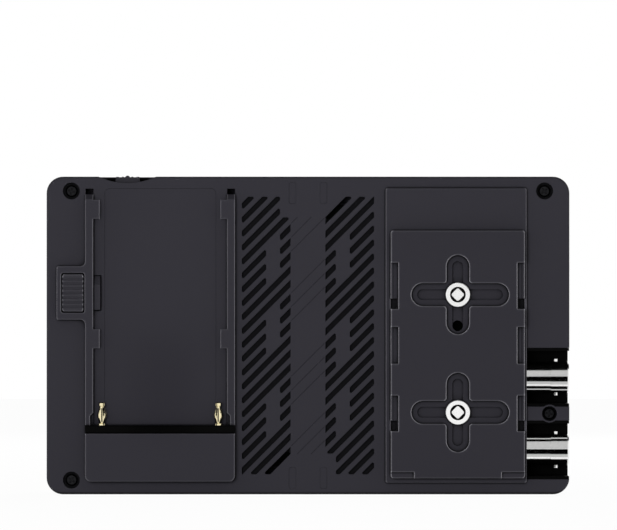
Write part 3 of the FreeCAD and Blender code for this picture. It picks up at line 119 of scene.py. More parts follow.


# %% [markdown]
# The case is moulded ABS, and its outer edges catch the light as thin bright lines, so they get a
# painted highlight: a lighter colour along the edge. Such edges could be painted by hand, but an
# Ambient Occlusion node that looks into the piece finds them by itself: close to an outer edge its
# short rays leave the material. In the photograph the upright edges are the lightest, as the light
# falls from the sides, so a Bevel node tells how far the rounded surface turns sideways, and level
# edges get a small share of the painted highlight. The painted highlight goes from the rear down to
# a given depth. Where an outline is given, the left and right sides of the piece get it at any
# depth.

# %% Painted edge highlights
EDGE_REACH = 0.5 * MM
EDGE_ROUNDING = 0.4 * MM
SIDE_BAND = 0.5 * MM
LEVEL_EDGE_SHARE = 0.12


def edge_highlight(tree, split, highlight_to, outline):
    """How much painted highlight each point gets, from 0 to 1; split holds its object coordinates.
    """
    inside = add(tree, "ShaderNodeAmbientOcclusion",
                 {"samples": 8, "only_local": True, "inside": True, "Distance": EDGE_REACH}, {})
    edge_line = add(tree, "ShaderNodeMapRange",
                    {"From Min": 0.7, "From Max": 0.97, "To Min": 1.0, "To Max": 0.0},
                    {"Value": inside.outputs["AO"]})
    rounding = add(tree, "ShaderNodeBevel", {"samples": 4, "Radius": EDGE_ROUNDING}, {})
    turned = add(tree, "ShaderNodeSeparateXYZ", {}, {"Vector": rounding.outputs["Normal"]})
    sideways = add(tree, "ShaderNodeMath", {"operation": "ABSOLUTE"}, {0: turned.outputs["X"]})
    upright = add(tree, "ShaderNodeMapRange",
                  {"From Max": 0.4, "To Min": LEVEL_EDGE_SHARE, "To Max": 1.0},
                  {"Value": sideways.outputs[0]})
    highlight_zone = add(tree, "ShaderNodeMath", {"operation": "LESS_THAN", 1: highlight_to},
                  {0: split.outputs["Y"]})
    if outline:
        left, right = outline
        shifted = add(tree, "ShaderNodeMath", {"operation": "SUBTRACT", 1: (left + right) / 2},
                      {0: split.outputs["X"]})
        outward = add(tree, "ShaderNodeMath", {"operation": "ABSOLUTE"}, {0: shifted.outputs[0]})
        at_side = add(tree, "ShaderNodeMath",
                      {"operation": "GREATER_THAN", 1: (right - left) / 2 - SIDE_BAND},
                      {0: outward.outputs[0]})
        highlight_zone = add(tree, "ShaderNodeMath", {"operation": "MAXIMUM"},
                      {0: highlight_zone.outputs[0], 1: at_side.outputs[0]})
    lit_edge = add(tree, "ShaderNodeMath", {"operation": "MULTIPLY"},
                 {0: upright.outputs["Result"], 1: highlight_zone.outputs[0]})
    return add(tree, "ShaderNodeMath", {"operation": "MULTIPLY"},
               {0: edge_line.outputs["Result"], 1: lit_edge.outputs[0]})


# %% [markdown]
# Inner corners are darker than the flats: they get painted shade, a colour darkened towards black
# where little light gets in. Two more Ambient Occlusion nodes look out of the piece: one over less
# than a millimetre, for creases, and one over three, for holes, which are painted black. The
# grooves of the middle band are shallow, so creases are fainter there, and they also fade below a
# depth that can be given.

# %% Painted shade in corners
CREASE_REACH = 0.8 * MM
HOLE_REACH = 3.0 * MM
BAND_HALF = 4.6 * MM
BAND_FADE = 0.2 * MM
BAND_CREASE_SHARE = 0.45
DEPTH_FADE = 0.1 * MM
DEEP_CREASE_SHARE = 0.3


def corner_shade(tree, split, creased_to):
    """How much painted shade each point gets, from 0 to 1; split holds its object coordinates."""
    near = add(tree, "ShaderNodeAmbientOcclusion", {"samples": 10, "Distance": CREASE_REACH}, {})
    crease = add(tree, "ShaderNodeMapRange",
                 {"From Min": 0.55, "From Max": 0.92, "To Min": 1.0, "To Max": 0.0},
                 {"Value": near.outputs["AO"]})
    far = add(tree, "ShaderNodeAmbientOcclusion", {"samples": 8, "Distance": HOLE_REACH}, {})
    hole = add(tree, "ShaderNodeMapRange",
               {"From Min": 0.3, "From Max": 0.55, "To Min": 1.0, "To Max": 0.0},
               {"Value": far.outputs["AO"]})
    off_middle = add(tree, "ShaderNodeMath", {"operation": "ABSOLUTE"}, {0: split.outputs["X"]})
    beside = add(tree, "ShaderNodeMapRange",
                 {"From Min": BAND_HALF, "From Max": BAND_HALF + BAND_FADE,
                  "To Min": BAND_CREASE_SHARE},
                 {"Value": off_middle.outputs[0]})
    shallow = add(tree, "ShaderNodeMapRange",
                  {"From Min": creased_to, "From Max": creased_to + DEPTH_FADE,
                   "To Min": 1.0, "To Max": DEEP_CREASE_SHARE},
                  {"Value": split.outputs["Y"]})
    strength = add(tree, "ShaderNodeMath", {"operation": "MULTIPLY"},
                   {0: beside.outputs["Result"], 1: shallow.outputs["Result"]})
    corner = add(tree, "ShaderNodeMath", {"operation": "MULTIPLY"},
                 {0: crease.outputs["Result"], 1: strength.outputs[0]})
    return add(tree, "ShaderNodeMath", {"operation": "MAXIMUM"},
               {0: corner.outputs[0], 1: hole.outputs["Result"]})


# %% [markdown]
# The skin of the moulding brings these together. To the eye it is a dark violet grey, dull on the
# flats: two close tones in slow patches, and a spark-eroded grain that raises the surface and
# breaks up its gloss. At 0.35 mm the grain is drawn as coarse as it needs to be to show. A Bevel
# node rounds every edge, as the mould does. The accessory plate is another moulding, a little
# darker and with a brighter painted highlight on its edges.

# %% Moulded ABS
PATCH_SIZE = 45 * MM
GRAIN_SIZE = 0.35 * MM
GRAIN_HEIGHT = 0.02 * MM
GLOSS_SPREAD = 0.05
ABS_IOR = 1.54
NOWHERE = -1.0
EVERYWHERE = 1.0


def moulded_abs(name, dark, light, highlight_tone, roughness, specular, radius, highlight_to,
                shade_tone="#060608", creased_to=EVERYWHERE, outline=None):
    """Textured moulding compound with a painted highlight on its outer edges and painted shade in
    its inner corners.
    """
    made, tree, out = start_material(name)
    place = add(tree, "ShaderNodeTexCoord", {}, {})
    split = add(tree, "ShaderNodeSeparateXYZ", {}, {"Vector": place.outputs["Object"]})
    patches = add(tree, "ShaderNodeTexNoise", {"Scale": 1 / PATCH_SIZE, "Detail": 2.0},
                  {"Vector": place.outputs["Object"]})
    tone = add(tree, "ShaderNodeMix", {"data_type": "RGBA", 6: linear(dark), 7: linear(light)},
               {0: patches.outputs["Fac"]})
    # Painted highlight: the edges are mixed towards a lighter tone.
    with_highlight = add(tree, "ShaderNodeMix", {"data_type": "RGBA", 7: linear(highlight_tone)},
               {0: edge_highlight(tree, split, highlight_to, outline).outputs[0], 6: tone.outputs[2]})
    # Painted shade: corners, creases and holes are mixed towards a near-black tone.
    shaded = add(tree, "ShaderNodeMix", {"data_type": "RGBA", 7: linear(shade_tone)},
                 {0: corner_shade(tree, split, creased_to).outputs[0], 6: with_highlight.outputs[2]})
    grain = add(tree, "ShaderNodeTexNoise",
                {"Scale": 1 / GRAIN_SIZE, "Detail": 3.0, "Roughness": 0.6},
                {"Vector": place.outputs["Object"]})
    shine = add(tree, "ShaderNodeMapRange",
                {"To Min": roughness - GLOSS_SPREAD, "To Max": roughness + GLOSS_SPREAD},
                {"Value": grain.outputs["Fac"]})
    edge = add(tree, "ShaderNodeBevel", {"samples": 6, "Radius": radius}, {})
    bump = add(tree, "ShaderNodeBump", {"Strength": 0.12, "Distance": GRAIN_HEIGHT},
               {"Height": grain.outputs["Fac"], "Normal": edge.outputs["Normal"]})
    skin = add(tree, "ShaderNodeBsdfPrincipled", {"IOR": ABS_IOR, "Specular IOR Level": specular},
               {"Base Color": shaded.outputs[2], "Roughness": shine.outputs["Result"],
                "Normal": bump.outputs["Normal"]})
    tree.links.new(skin.outputs[0], out.inputs["Surface"])
    return made


# The third colour of each moulding is the tone of its painted edge highlight.
case_abs = moulded_abs("moulded_abs_violet_grey", "#2d2c32", "#2f2e34", "#6d6c72",
                       roughness=0.5, specular=0.1, radius=0.2 * MM, highlight_to=-7.8 * MM)
dress(case_abs, "rear_cover", "battery_plate", "front_bezel")
plate_low, plate_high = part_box("accessory_plate")
plate_abs = moulded_abs("moulded_abs_plate", "#2b2a30", "#2d2c32", "#939298",
                        roughness=0.5, specular=0.1, radius=0.2 * MM, highlight_to=-11.0 * MM,
                        creased_to=-10.4 * MM, outline=(plate_low[0], plate_high[0]))
dress(plate_abs, "accessory_plate")
button_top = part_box("battery_latch")[0][1]
button_abs = moulded_abs("moulded_abs_button", "#2e2d32", "#302f35", "#807f85",
                         roughness=0.55, specular=0.1, radius=0.12 * MM,
                         highlight_to=button_top + 0.1 * MM, creased_to=button_top + 1.0 * MM)
dress(button_abs, "battery_latch", "jog_lever")

# %% [markdown]
# The terminal bar, the tubs round the jacks and the bodies of the sockets are black polycarbonate
# filled with carbon black. It swallows nearly all light, and its near-black colour is also painted
# shade for the bar and the tubs, which sit in deep recesses. So it is much darker than the case,
# and the low specular level keeps the white room from greying it. The recipe is that of the case
# without the painted edge highlight.

# %% Black polycarbonate and painted shade
# Near black: black plastic, and painted shade for the bar and the tubs in their recesses.
black_pc_and_shade = moulded_abs("black_polycarbonate_and_shade", "#030303", "#050505", "#080808",
                       roughness=0.5, specular=0.03, radius=0.12 * MM, highlight_to=NOWHERE,
                       shade_tone="#010101")
dress(black_pc_and_shade, "contact_bar", "sdi_in_tub", "sdi_out_tub", "jog_carriage", "jog_switch",
      "headphone_jack", "power_jack", "latch_retainer")

# %% [markdown]
# Behind the slots lies a dust screen: black polyester woven from threads that are about 0.3 mm
# apart. Modelled threads would take thousands of faces that nobody sees, so two crossed wave
# patterns give the over and under of the weave, in tone and in height.

# %% Woven polyester dust screen
WAVE_PERIOD = math.tau / 20    # the spacing of a Wave texture's bands at a scale of 1
THREAD_HEIGHT = 0.08 * MM


def woven_screen(name, dark, light, thread):
    """A plain weave seen from a step away."""
    made, tree, out = start_material(name)
    place = add(tree, "ShaderNodeTexCoord", {}, {})
    scale = WAVE_PERIOD / thread
    warp = add(tree, "ShaderNodeTexWave", {"bands_direction": "X", "Scale": scale},
               {"Vector": place.outputs["Object"]})
    weft = add(tree, "ShaderNodeTexWave", {"bands_direction": "Z", "Scale": scale},
               {"Vector": place.outputs["Object"]})
    cloth = add(tree, "ShaderNodeMath", {"operation": "MULTIPLY"},
                {0: warp.outputs["Fac"], 1: weft.outputs["Fac"]})
    tone = add(tree, "ShaderNodeMix", {"data_type": "RGBA", 6: linear(dark), 7: linear(light)},
               {0: cloth.outputs[0]})
    bump = add(tree, "ShaderNodeBump", {"Strength": 0.5, "Distance": THREAD_HEIGHT},
               {"Height": cloth.outputs[0]})
    skin = add(tree, "ShaderNodeBsdfPrincipled", {"Roughness": 0.75, "Specular IOR Level": 0.1},
               {"Base Color": tone.outputs[2], "Normal": bump.outputs["Normal"]})
    tree.links.new(skin.outputs[0], out.inputs["Surface"])
    return made


screen_cloth = woven_screen("woven_polyester_screen", "#0f0f11", "#19191b", thread=0.3 * MM)
dress(screen_cloth, "vent_screens")

# %% [markdown]
# The two screws that clamp the accessory plate have a driver socket whose walls lie in shade and
# whose floor is bright.
# Faces could be picked by hand for a second material, but the solids have hexagon sockets and the
# floor in the photograph looks almost square. So the shade is painted into the colour, by the
# distance from the screw's axis: inside the rim all is painted black, apart from a square that
# stands on its corner and is trimmed by a circle.

# %% Painted shade in sockets
SOCKET_RIM_R = 2.26 * MM
SOCKET_FLOOR_R = 1.75 * MM
SOCKET_SQUARE = 2.0 * MM


def paint_socket_shade(tree, place, tone, axis_x, axis_z):
    """Paint shade into a driver socket that opens towards the rear, all but its floor."""
    from_axis = add(tree, "ShaderNodeVectorMath",
                    {"operation": "SUBTRACT", 1: (axis_x, 0, axis_z)},
                    {0: place.outputs["Object"]})
    split = add(tree, "ShaderNodeSeparateXYZ", {}, {"Vector": from_axis.outputs[0]})
    flat = add(tree, "ShaderNodeCombineXYZ", {}, {"X": split.outputs["X"], "Z": split.outputs["Z"]})
    radius = add(tree, "ShaderNodeVectorMath", {"operation": "LENGTH"}, {0: flat.outputs[0]})
    across = add(tree, "ShaderNodeMath", {"operation": "ABSOLUTE"}, {0: split.outputs["X"]})
    upward = add(tree, "ShaderNodeMath", {"operation": "ABSOLUTE"}, {0: split.outputs["Z"]})
    slant = add(tree, "ShaderNodeMath", {"operation": "ADD"},
                {0: across.outputs[0], 1: upward.outputs[0]})
    off_square = add(tree, "ShaderNodeMath", {"operation": "GREATER_THAN", 1: SOCKET_SQUARE},
                     {0: slant.outputs[0]})
    off_circle = add(tree, "ShaderNodeMath", {"operation": "GREATER_THAN", 1: SOCKET_FLOOR_R},
                     {0: radius.outputs["Value"]})
    off_floor = add(tree, "ShaderNodeMath", {"operation": "MAXIMUM"},
                    {0: off_square.outputs[0], 1: off_circle.outputs[0]})
    in_rim = add(tree, "ShaderNodeMath", {"operation": "LESS_THAN", 1: SOCKET_RIM_R},
                 {0: radius.outputs["Value"]})
    # Painted shade: black inside the rim, all but the square floor.
    black = add(tree, "ShaderNodeMath", {"operation": "MULTIPLY"},
                {0: off_floor.outputs[0], 1: in_rim.outputs[0]})
    return add(tree, "ShaderNodeMix", {"data_type": "RGBA", 7: linear("#0a0a0a")},
               {0: black.outputs[0], 6: tone.outputs[2]})


# %% [markdown]
# The metals differ in colour and in how they were finished: gold and nickel plate are smooth,
# turned brass and plain steel are a little rougher, and fine turning or drawing marks break up
# the reflections. A metal has no base colour of its own besides its reflection, so the hex value
# is the tint of what it mirrors.

# %% Metals
MARK_HEIGHT = 0.01 * MM
POLISH_SPREAD = 0.2


def plated_metal(name, tint, dull, roughness, marks, radius, sockets=()):
    """A metal with fine marks and uneven polish; sockets are the x and z of ones with painted
    shade.
    """
    made, tree, out = start_material(name)
    place = add(tree, "ShaderNodeTexCoord", {}, {})
    grain = add(tree, "ShaderNodeTexNoise", {"Scale": 1 / marks, "Detail": 4.0},
                {"Vector": place.outputs["Object"]})
    tone = add(tree, "ShaderNodeMix", {"data_type": "RGBA", 6: linear(dull), 7: linear(tint)},
               {0: grain.outputs["Fac"]})
    for axis_x, axis_z in sockets:
        tone = paint_socket_shade(tree, place, tone, axis_x, axis_z)
    polish = add(tree, "ShaderNodeMapRange",
                 {"To Min": roughness * (1 - POLISH_SPREAD),
                  "To Max": roughness * (1 + POLISH_SPREAD)},
                 {"Value": grain.outputs["Fac"]})
    edge = add(tree, "ShaderNodeBevel", {"samples": 4, "Radius": radius}, {})
    bump = add(tree, "ShaderNodeBump", {"Strength": 0.05, "Distance": MARK_HEIGHT},
               {"Height": grain.outputs["Fac"], "Normal": edge.outputs["Normal"]})
    skin = add(tree, "ShaderNodeBsdfPrincipled", {"Metallic": 1.0},
               {"Base Color": tone.outputs[2], "Roughness": polish.outputs["Result"],
                "Normal": bump.outputs["Normal"]})
    tree.links.new(skin.outputs[0], out.inputs["Surface"])
    return made


nickel = plated_metal("bright_nickel_plate", "#f6f6f5", "#ececeb",
                      roughness=0.12, marks=0.8 * MM, radius=0.1 * MM)
dress(nickel, "sdi_in_jack", "sdi_out_jack")
clamp_low, clamp_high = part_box("plate_screws")
clamp_x = (clamp_low[0] + clamp_high[0]) / 2
clamp_r = (clamp_high[0] - clamp_low[0]) / 2
clamp_axes = [(clamp_x, clamp_low[2] + clamp_r), (clamp_x, clamp_high[2] - clamp_r)]
satin_nickel = plated_metal("satin_nickel_plate", "#ffffff", "#f6f6f5",
                            roughness=0.28, marks=0.5 * MM, radius=0.1 * MM, sockets=clamp_axes)
dress(satin_nickel, "plate_screws")
gold = plated_metal("gold_plate", "#fbf2cf", "#ecdcaa",
                    roughness=0.12, marks=0.4 * MM, radius=0.08 * MM)
dress(gold, "battery_pins", "jack_contacts")
brass = plated_metal("turned_brass", "#c9a95e", "#b8974e",
                     roughness=0.3, marks=0.5 * MM, radius=0.15 * MM)
dress(brass, "thread_inserts", "plate_inserts")
steel = plated_metal("zinc_plated_steel", "#c9c9c6", "#b4b4b2",
                     roughness=0.35, marks=0.6 * MM, radius=0.1 * MM)
dress(steel, "latch_screws", "board_screws", "chassis_screws", "jog_pin",
      "video_in_port", "video_out_port", "power_pin")
black_steel = plated_metal("black_oxide_steel", "#2b2b2d", "#1f1f21",
                           roughness=0.45, marks=0.4 * MM, radius=0.1 * MM)
dark_aluminium = plated_metal("black_anodised_aluminium", "#2c2c2e", "#202022",
                              roughness=0.5, marks=0.3 * MM, radius=0.15 * MM)
dress(dark_aluminium, "heat_sink")

# %% [markdown]
# The screen is off, so the cover glass over it looks like one black polished sheet. A slightly
# lighter rectangle shows where the display lies under the printed border. It could be a second
# piece behind clear glass, but a tone in the glass's own material gives the same view.

# %% Cover glass
DISPLAY_HALF_X = 60.9 * MM
DISPLAY_HALF_Z = 34.25 * MM
MIDDLE_Z = 46 * MM
GLASS_IOR = 1.52


def dark_glass(name, border, display):
    """Black backed glass with the display's rectangle just visible."""
    made, tree, out = start_material(name)
    place = add(tree, "ShaderNodeTexCoord", {}, {})
    split = add(tree, "ShaderNodeSeparateXYZ", {}, {"Vector": place.outputs["Object"]})
    off_x = add(tree, "ShaderNodeMath", {"operation": "ABSOLUTE"}, {0: split.outputs["X"]})
    in_x = add(tree, "ShaderNodeMath", {"operation": "LESS_THAN", 1: DISPLAY_HALF_X},
               {0: off_x.outputs[0]})
    height = add(tree, "ShaderNodeMath", {"operation": "SUBTRACT", 1: MIDDLE_Z},
                 {0: split.outputs["Z"]})
    off_z = add(tree, "ShaderNodeMath", {"operation": "ABSOLUTE"}, {0: height.outputs[0]})
    in_z = add(tree, "ShaderNodeMath", {"operation": "LESS_THAN", 1: DISPLAY_HALF_Z},
               {0: off_z.outputs[0]})
    inside = add(tree, "ShaderNodeMath", {"operation": "MULTIPLY"},
                 {0: in_x.outputs[0], 1: in_z.outputs[0]})
    tone = add(tree, "ShaderNodeMix", {"data_type": "RGBA", 6: linear(border), 7: linear(display)},
               {0: inside.outputs[0]})
    skin = add(tree, "ShaderNodeBsdfPrincipled", {"Roughness": 0.04, "IOR": GLASS_IOR},
               {"Base Color": tone.outputs[2]})
    tree.links.new(skin.outputs[0], out.inputs["Surface"])
    return made


dress(dark_glass("black_backed_glass", "#050506", "#0d0e11"), "cover_glass")

# %% [markdown]
# Pieces inside the case, and small ones, need no painted edge highlights: films, boards, foam and
# small mouldings get a tone with a grain of their own size, in colour and in height, which also
# keeps the render quick. The board and the chassis plate lie behind the slots and holes of the
# case, where the inside is in shade: the board's solder mask is black, and both are coloured near
# black as painted shade there, with a low specular level that keeps them dark.

# %% Inner pieces
MATT = 0.3
DEAD_MATT = 0.06
INNER_PIECES = [  # node, material, dark, light, roughness, grain in mm, specular level
    ("lcd_panel", "display_film", "#1a1c20", "#202227", 0.2, 2.0, MATT),
    ("backlight_unit", "white_reflector_film", "#d8d8d4", "#e2e2de", 0.6, 3.0, MATT),
    ("jack_insulators", "white_ptfe", "#dedcd4", "#e9e7e0", 0.5, 0.8, MATT),
    ("port_tongues", "black_lcp_tongue", "#101011", "#161617", 0.45, 0.5, MATT),
    # The board and the chassis plate are near black as painted shade behind the slots.
    ("main_board", "solder_mask_and_shade", "#060907", "#0b0f0c", 0.5, 1.5, DEAD_MATT),
    ("chassis_plate", "steel_in_painted_shade", "#060606", "#0b0b0b", 0.6, 0.6, DEAD_MATT),
    ("display_ribbon", "amber_polyimide", "#8a5a22", "#9a672a", 0.35, 2.0, MATT),
    ("board_chips", "black_epoxy", "#141415", "#1c1c1d", 0.5, 0.4, MATT),
    ("glass_tape", "foam_tape", "#0d0d0d", "#131313", 0.9, 0.6, MATT),
    ("thermal_pad", "grey_silicone_pad", "#6d7276", "#7c8185", 0.8, 1.0, MATT),
]


def plain_stuff(name, dark, light, roughness, grain_mm, specular):
    """A matt material with a grain of a given size."""
    made, tree, out = start_material(name)
    place = add(tree, "ShaderNodeTexCoord", {}, {})
    grain = add(tree, "ShaderNodeTexNoise", {"Scale": 1 / (grain_mm * MM), "Detail": 3.0},
                {"Vector": place.outputs["Object"]})
    tone = add(tree, "ShaderNodeMix", {"data_type": "RGBA", 6: linear(dark), 7: linear(light)},
               {0: grain.outputs["Fac"]})
    bump = add(tree, "ShaderNodeBump", {"Strength": 0.1, "Distance": GRAIN_HEIGHT},
               {"Height": grain.outputs["Fac"]})
    skin = add(tree, "ShaderNodeBsdfPrincipled",
               {"Roughness": roughness, "Specular IOR Level": specular},
               {"Base Color": tone.outputs[2], "Normal": bump.outputs["Normal"]})
    tree.links.new(skin.outputs[0], out.inputs["Surface"])
    return made


for node_name, *recipe in INNER_PIECES:
    dress(plain_stuff(*recipe), node_name)

# %% [markdown]
# Four black pan-head screws hold the shells together. The construction model has plain round
# heads, so a finished screw is modelled once. The head starts as a cylinder, and a bevel rolls its
# outer rim over. The cross could be pushed in from faces in the shape of a plus, but the flat top
# is one round face, so two Booleans cut it, as a punch does on the real head. Small helpers select
# pieces, put their place into their mesh, copy them and make round rods.

# %% One case screw
TOUCH = 0.001 * MM
HEAD_R = 1.7 * MM
HEAD_H = 1.3 * MM
RIM_ROLL = 0.55 * MM
SHANK_R = 1.1 * MM
CROSS_ARM = 0.5 * MM
CROSS_SPAN = 2.0 * MM
CROSS_DEPTH = 0.75 * MM


def pick(*pieces):
    """Select these objects alone and make the first one active."""
    bpy.ops.object.select_all(action="DESELECT")
    for piece in pieces:
        piece.select_set(True)
    bpy.context.view_layer.objects.active = pieces[0]


def settle(piece):
    """Put an object's place, turn and scale into its mesh."""
    pick(piece)
    bpy.ops.object.transform_apply(location=True, rotation=True, scale=True)


def copy_of(piece, name):
    """A copy of a piece, with a mesh of its own."""
    made = piece.copy()
    made.data = piece.data.copy()
    made.name = name
    bpy.context.scene.collection.objects.link(made)
    return made


def rod(radius, start, length, sides):
    """A round rod that runs from start along Y."""
    bpy.ops.object.select_all(action="DESELECT")
    bpy.ops.mesh.primitive_cylinder_add(
        vertices=sides, radius=radius, depth=length, rotation=(math.pi / 2, 0, 0),
        location=(0, start + length / 2, 0))
    made = bpy.context.object
    settle(made)
    return made


screw_low, screw_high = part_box("case_screws")
head_top = screw_low[1]
head = rod(HEAD_R, head_top, HEAD_H, sides=40)
bpy.ops.object.mode_set(mode="EDIT")
bpy.ops.mesh.select_mode(type="EDGE")
bpy.ops.mesh.select_all(action="DESELECT")
bpy.ops.object.mode_set(mode="OBJECT")
for edge in head.data.edges:
    edge.select = all(abs(head.data.vertices[i].co.y - head_top) < TOUCH for i in edge.vertices)
bpy.ops.object.mode_set(mode="EDIT")
bpy.ops.mesh.bevel(offset=RIM_ROLL, segments=5, profile=0.5, affect="EDGES")
bpy.ops.object.mode_set(mode="OBJECT")
for width, height in ((CROSS_ARM, CROSS_SPAN), (CROSS_SPAN, CROSS_ARM)):
    bpy.ops.object.select_all(action="DESELECT")
    bpy.ops.mesh.primitive_cube_add(size=1.0, location=(0, head_top, 0))
    punch = bpy.context.object
    punch.scale = (width, 2 * CROSS_DEPTH, height)
    settle(punch)
    cut = head.modifiers.new("cross", "BOOLEAN")
    cut.operation = "DIFFERENCE"
    cut.solver = "EXACT"
    cut.object = punch
    pick(head)
    bpy.ops.object.modifier_apply(modifier=cut.name)
    bpy.data.objects.remove(punch)
shank_start = head_top + HEAD_H
shank = rod(SHANK_R, shank_start, screw_high[1] - shank_start, sides=24)
pick(head, shank)
bpy.ops.object.join()
bpy.ops.object.shade_smooth_by_angle(angle=math.radians(35))
print("case screw faces:", len(head.data.polygons))

# %% [markdown]
# Copies of the screw go to the four wells. Each is turned differently, as a driver leaves them,
# and stands for the plain screws of the construction model.

# %% Case screws
WELLS = [  # x and z in mm, turn in radians
    (-68.5, 87.85, 0.3), (68.5, 87.85, 0.9), (-68.5, 4.15, 0.6), (69.9, 23.4, 0.2),
]
for number, (x, z, turn) in enumerate(WELLS, 1):
    piece = copy_of(head, "case_screw_" + str(number))
    piece.rotation_euler = (0, turn, 0)
    piece.location = (x * MM, 0, z * MM)
    settle(piece)
    piece.data.materials.clear()
    piece.data.materials.append(black_steel)
    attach(piece, "case")
    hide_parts("case_screws")
bpy.data.objects.remove(head)
print("case screws:", len(WELLS))

# %% [markdown]
# The two brass inserts take a quarter-inch screw with twenty turns to the inch. The construction
# model has plain holes, so the turns are made here: a small triangle that points to the axis is
# swept up a helix by a Screw modifier, its ends are closed, and a copy is turned into the side.

# %% Thread turns in the inserts
THREAD_R = 3.175 * MM
PITCH = 25.4 / 20 * MM
THREAD_TURNS = 5
TOOTH_R = 0.45 * MM
TOOTH_INSET = 0.2 * MM
THREAD_START = 0.8 * MM
SIDE_THREAD_Z = 66.0 * MM


def sweep_helix(outline, pitch, turns, steps, corners, smooth_degrees):
    """Sweep a closed outline up the Z axis, then close both ends and smooth the flanks."""
    settle(outline)
    sweep = outline.modifiers.new("helix", "SCREW")
    sweep.axis = "Z"
    sweep.screw_offset = pitch
    sweep.iterations = turns
    sweep.steps = steps
    sweep.render_steps = steps
    bpy.ops.object.modifier_apply(modifier=sweep.name)
    bpy.ops.object.mode_set(mode="EDIT")
    bpy.ops.mesh.select_all(action="SELECT")
    bpy.ops.mesh.remove_doubles(threshold=TOUCH)
    bpy.ops.mesh.fill_holes(sides=corners)
    bpy.ops.mesh.select_all(action="SELECT")
    bpy.ops.mesh.normals_make_consistent(inside=False)
    bpy.ops.object.mode_set(mode="OBJECT")
    bpy.ops.object.shade_smooth_by_angle(angle=math.radians(smooth_degrees))


bpy.ops.object.select_all(action="DESELECT")
bpy.ops.mesh.primitive_circle_add(
    vertices=3, radius=TOOTH_R, fill_type="NOTHING", rotation=(math.pi / 2, -math.pi / 2, 0),
    location=(THREAD_R - TOOTH_INSET, 0, THREAD_START))
bottom_turns = bpy.context.object
bottom_turns.name = "bottom_thread_turns"
sweep_helix(bottom_turns, PITCH, THREAD_TURNS, steps=28, corners=4, smooth_degrees=40)
side_turns = copy_of(bottom_turns, "side_thread_turns")
side_turns.rotation_euler = (0, -math.pi / 2, 0)
side_turns.location = (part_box("rear_cover")[1][0], 0, SIDE_THREAD_Z)
settle(side_turns)
for piece in (bottom_turns, side_turns):
    piece.data.materials.clear()
    piece.data.materials.append(brass)
    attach(piece, "case")
print("thread turns:", len(bottom_turns.data.polygons), "faces each")

# %% [markdown]
# Two springs push the battery latch out, and they shorten when the latch is pressed. Each is made
# here as one mesh, a wire circle swept up a helix.

# %% Latch springs
COIL_R = 1.5 * MM
WIRE_R = 0.2 * MM
WIRE_SIDES = 10
COIL_TURNS = 5
spring_low, spring_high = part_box("latch_springs")
coil_rise = spring_high[1] - spring_low[1] - 2 * WIRE_R
coil_x = (spring_low[0] + spring_high[0]) / 2
coil_heights = (spring_low[2] + COIL_R + WIRE_R, spring_high[2] - COIL_R - WIRE_R)
for number, coil_z in enumerate(coil_heights, 1):
    bpy.ops.object.select_all(action="DESELECT")
    bpy.ops.mesh.primitive_circle_add(
        vertices=WIRE_SIDES, radius=WIRE_R, fill_type="NOTHING", rotation=(math.pi / 2, 0, 0),
        location=(COIL_R, 0, 0))
    coil = bpy.context.object
    coil.name = "latch_spring_" + str(number)
    sweep_helix(coil, coil_rise / COIL_TURNS, COIL_TURNS, steps=24, corners=WIRE_SIDES,
                smooth_degrees=50)
    coil.rotation_euler = (-math.pi / 2, 0, 0)
    coil.location = (coil_x, spring_low[1] + WIRE_R, coil_z)
    settle(coil)
    coil.data.materials.append(steel)
    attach(coil, "case")
    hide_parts("latch_springs")
    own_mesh(coil)
    print(coil.name, "faces:", len(coil.data.polygons))

# %% [markdown]
# The studio is plain. A white floor would need so much light to look white that the case would
# fade, so the floor shows most of its white only to the camera and to reflections. The rest of it
# is lit as paper is, and keeps the monitor's faint shadow.

# %% Floor
FLOOR_SIZE = 6.0
FLOOR_GLOW_SHARE = 0.96
PAPER = (0.9, 0.9, 0.9, 1)
WHITE = (1, 1, 1, 1)
bpy.ops.object.select_all(action="DESELECT")
bpy.ops.mesh.primitive_plane_add(size=FLOOR_SIZE, location=(0, 0, 0))
floor = bpy.context.object
floor.name = "studio_floor"
pale, tree, out = start_material("pale_paper")
path = add(tree, "ShaderNodeLightPath", {}, {})
seen = add(tree, "ShaderNodeMath", {"operation": "MAXIMUM"},
           {0: path.outputs["Is Camera Ray"], 1: path.outputs["Is Glossy Ray"]})
share = add(tree, "ShaderNodeMath", {"operation": "MULTIPLY", 1: FLOOR_GLOW_SHARE},
            {0: seen.outputs[0]})
paper = add(tree, "ShaderNodeBsdfDiffuse", {"Color": PAPER}, {})
glow = add(tree, "ShaderNodeEmission", {"Color": WHITE, "Strength": 1.0}, {})
both = add(tree, "ShaderNodeMixShader", {},
           {0: share.outputs[0], 1: paper.outputs[0], 2: glow.outputs[0]})
tree.links.new(both.outputs[0], out.inputs["Surface"])
floor.data.materials.append(pale)
print("floor:", FLOOR_SIZE, "m")

# %% [markdown]
# The surround is white to the camera, to reflections and through glass, and gives the rest of the
# scene a weaker, even light that fills the shadows.

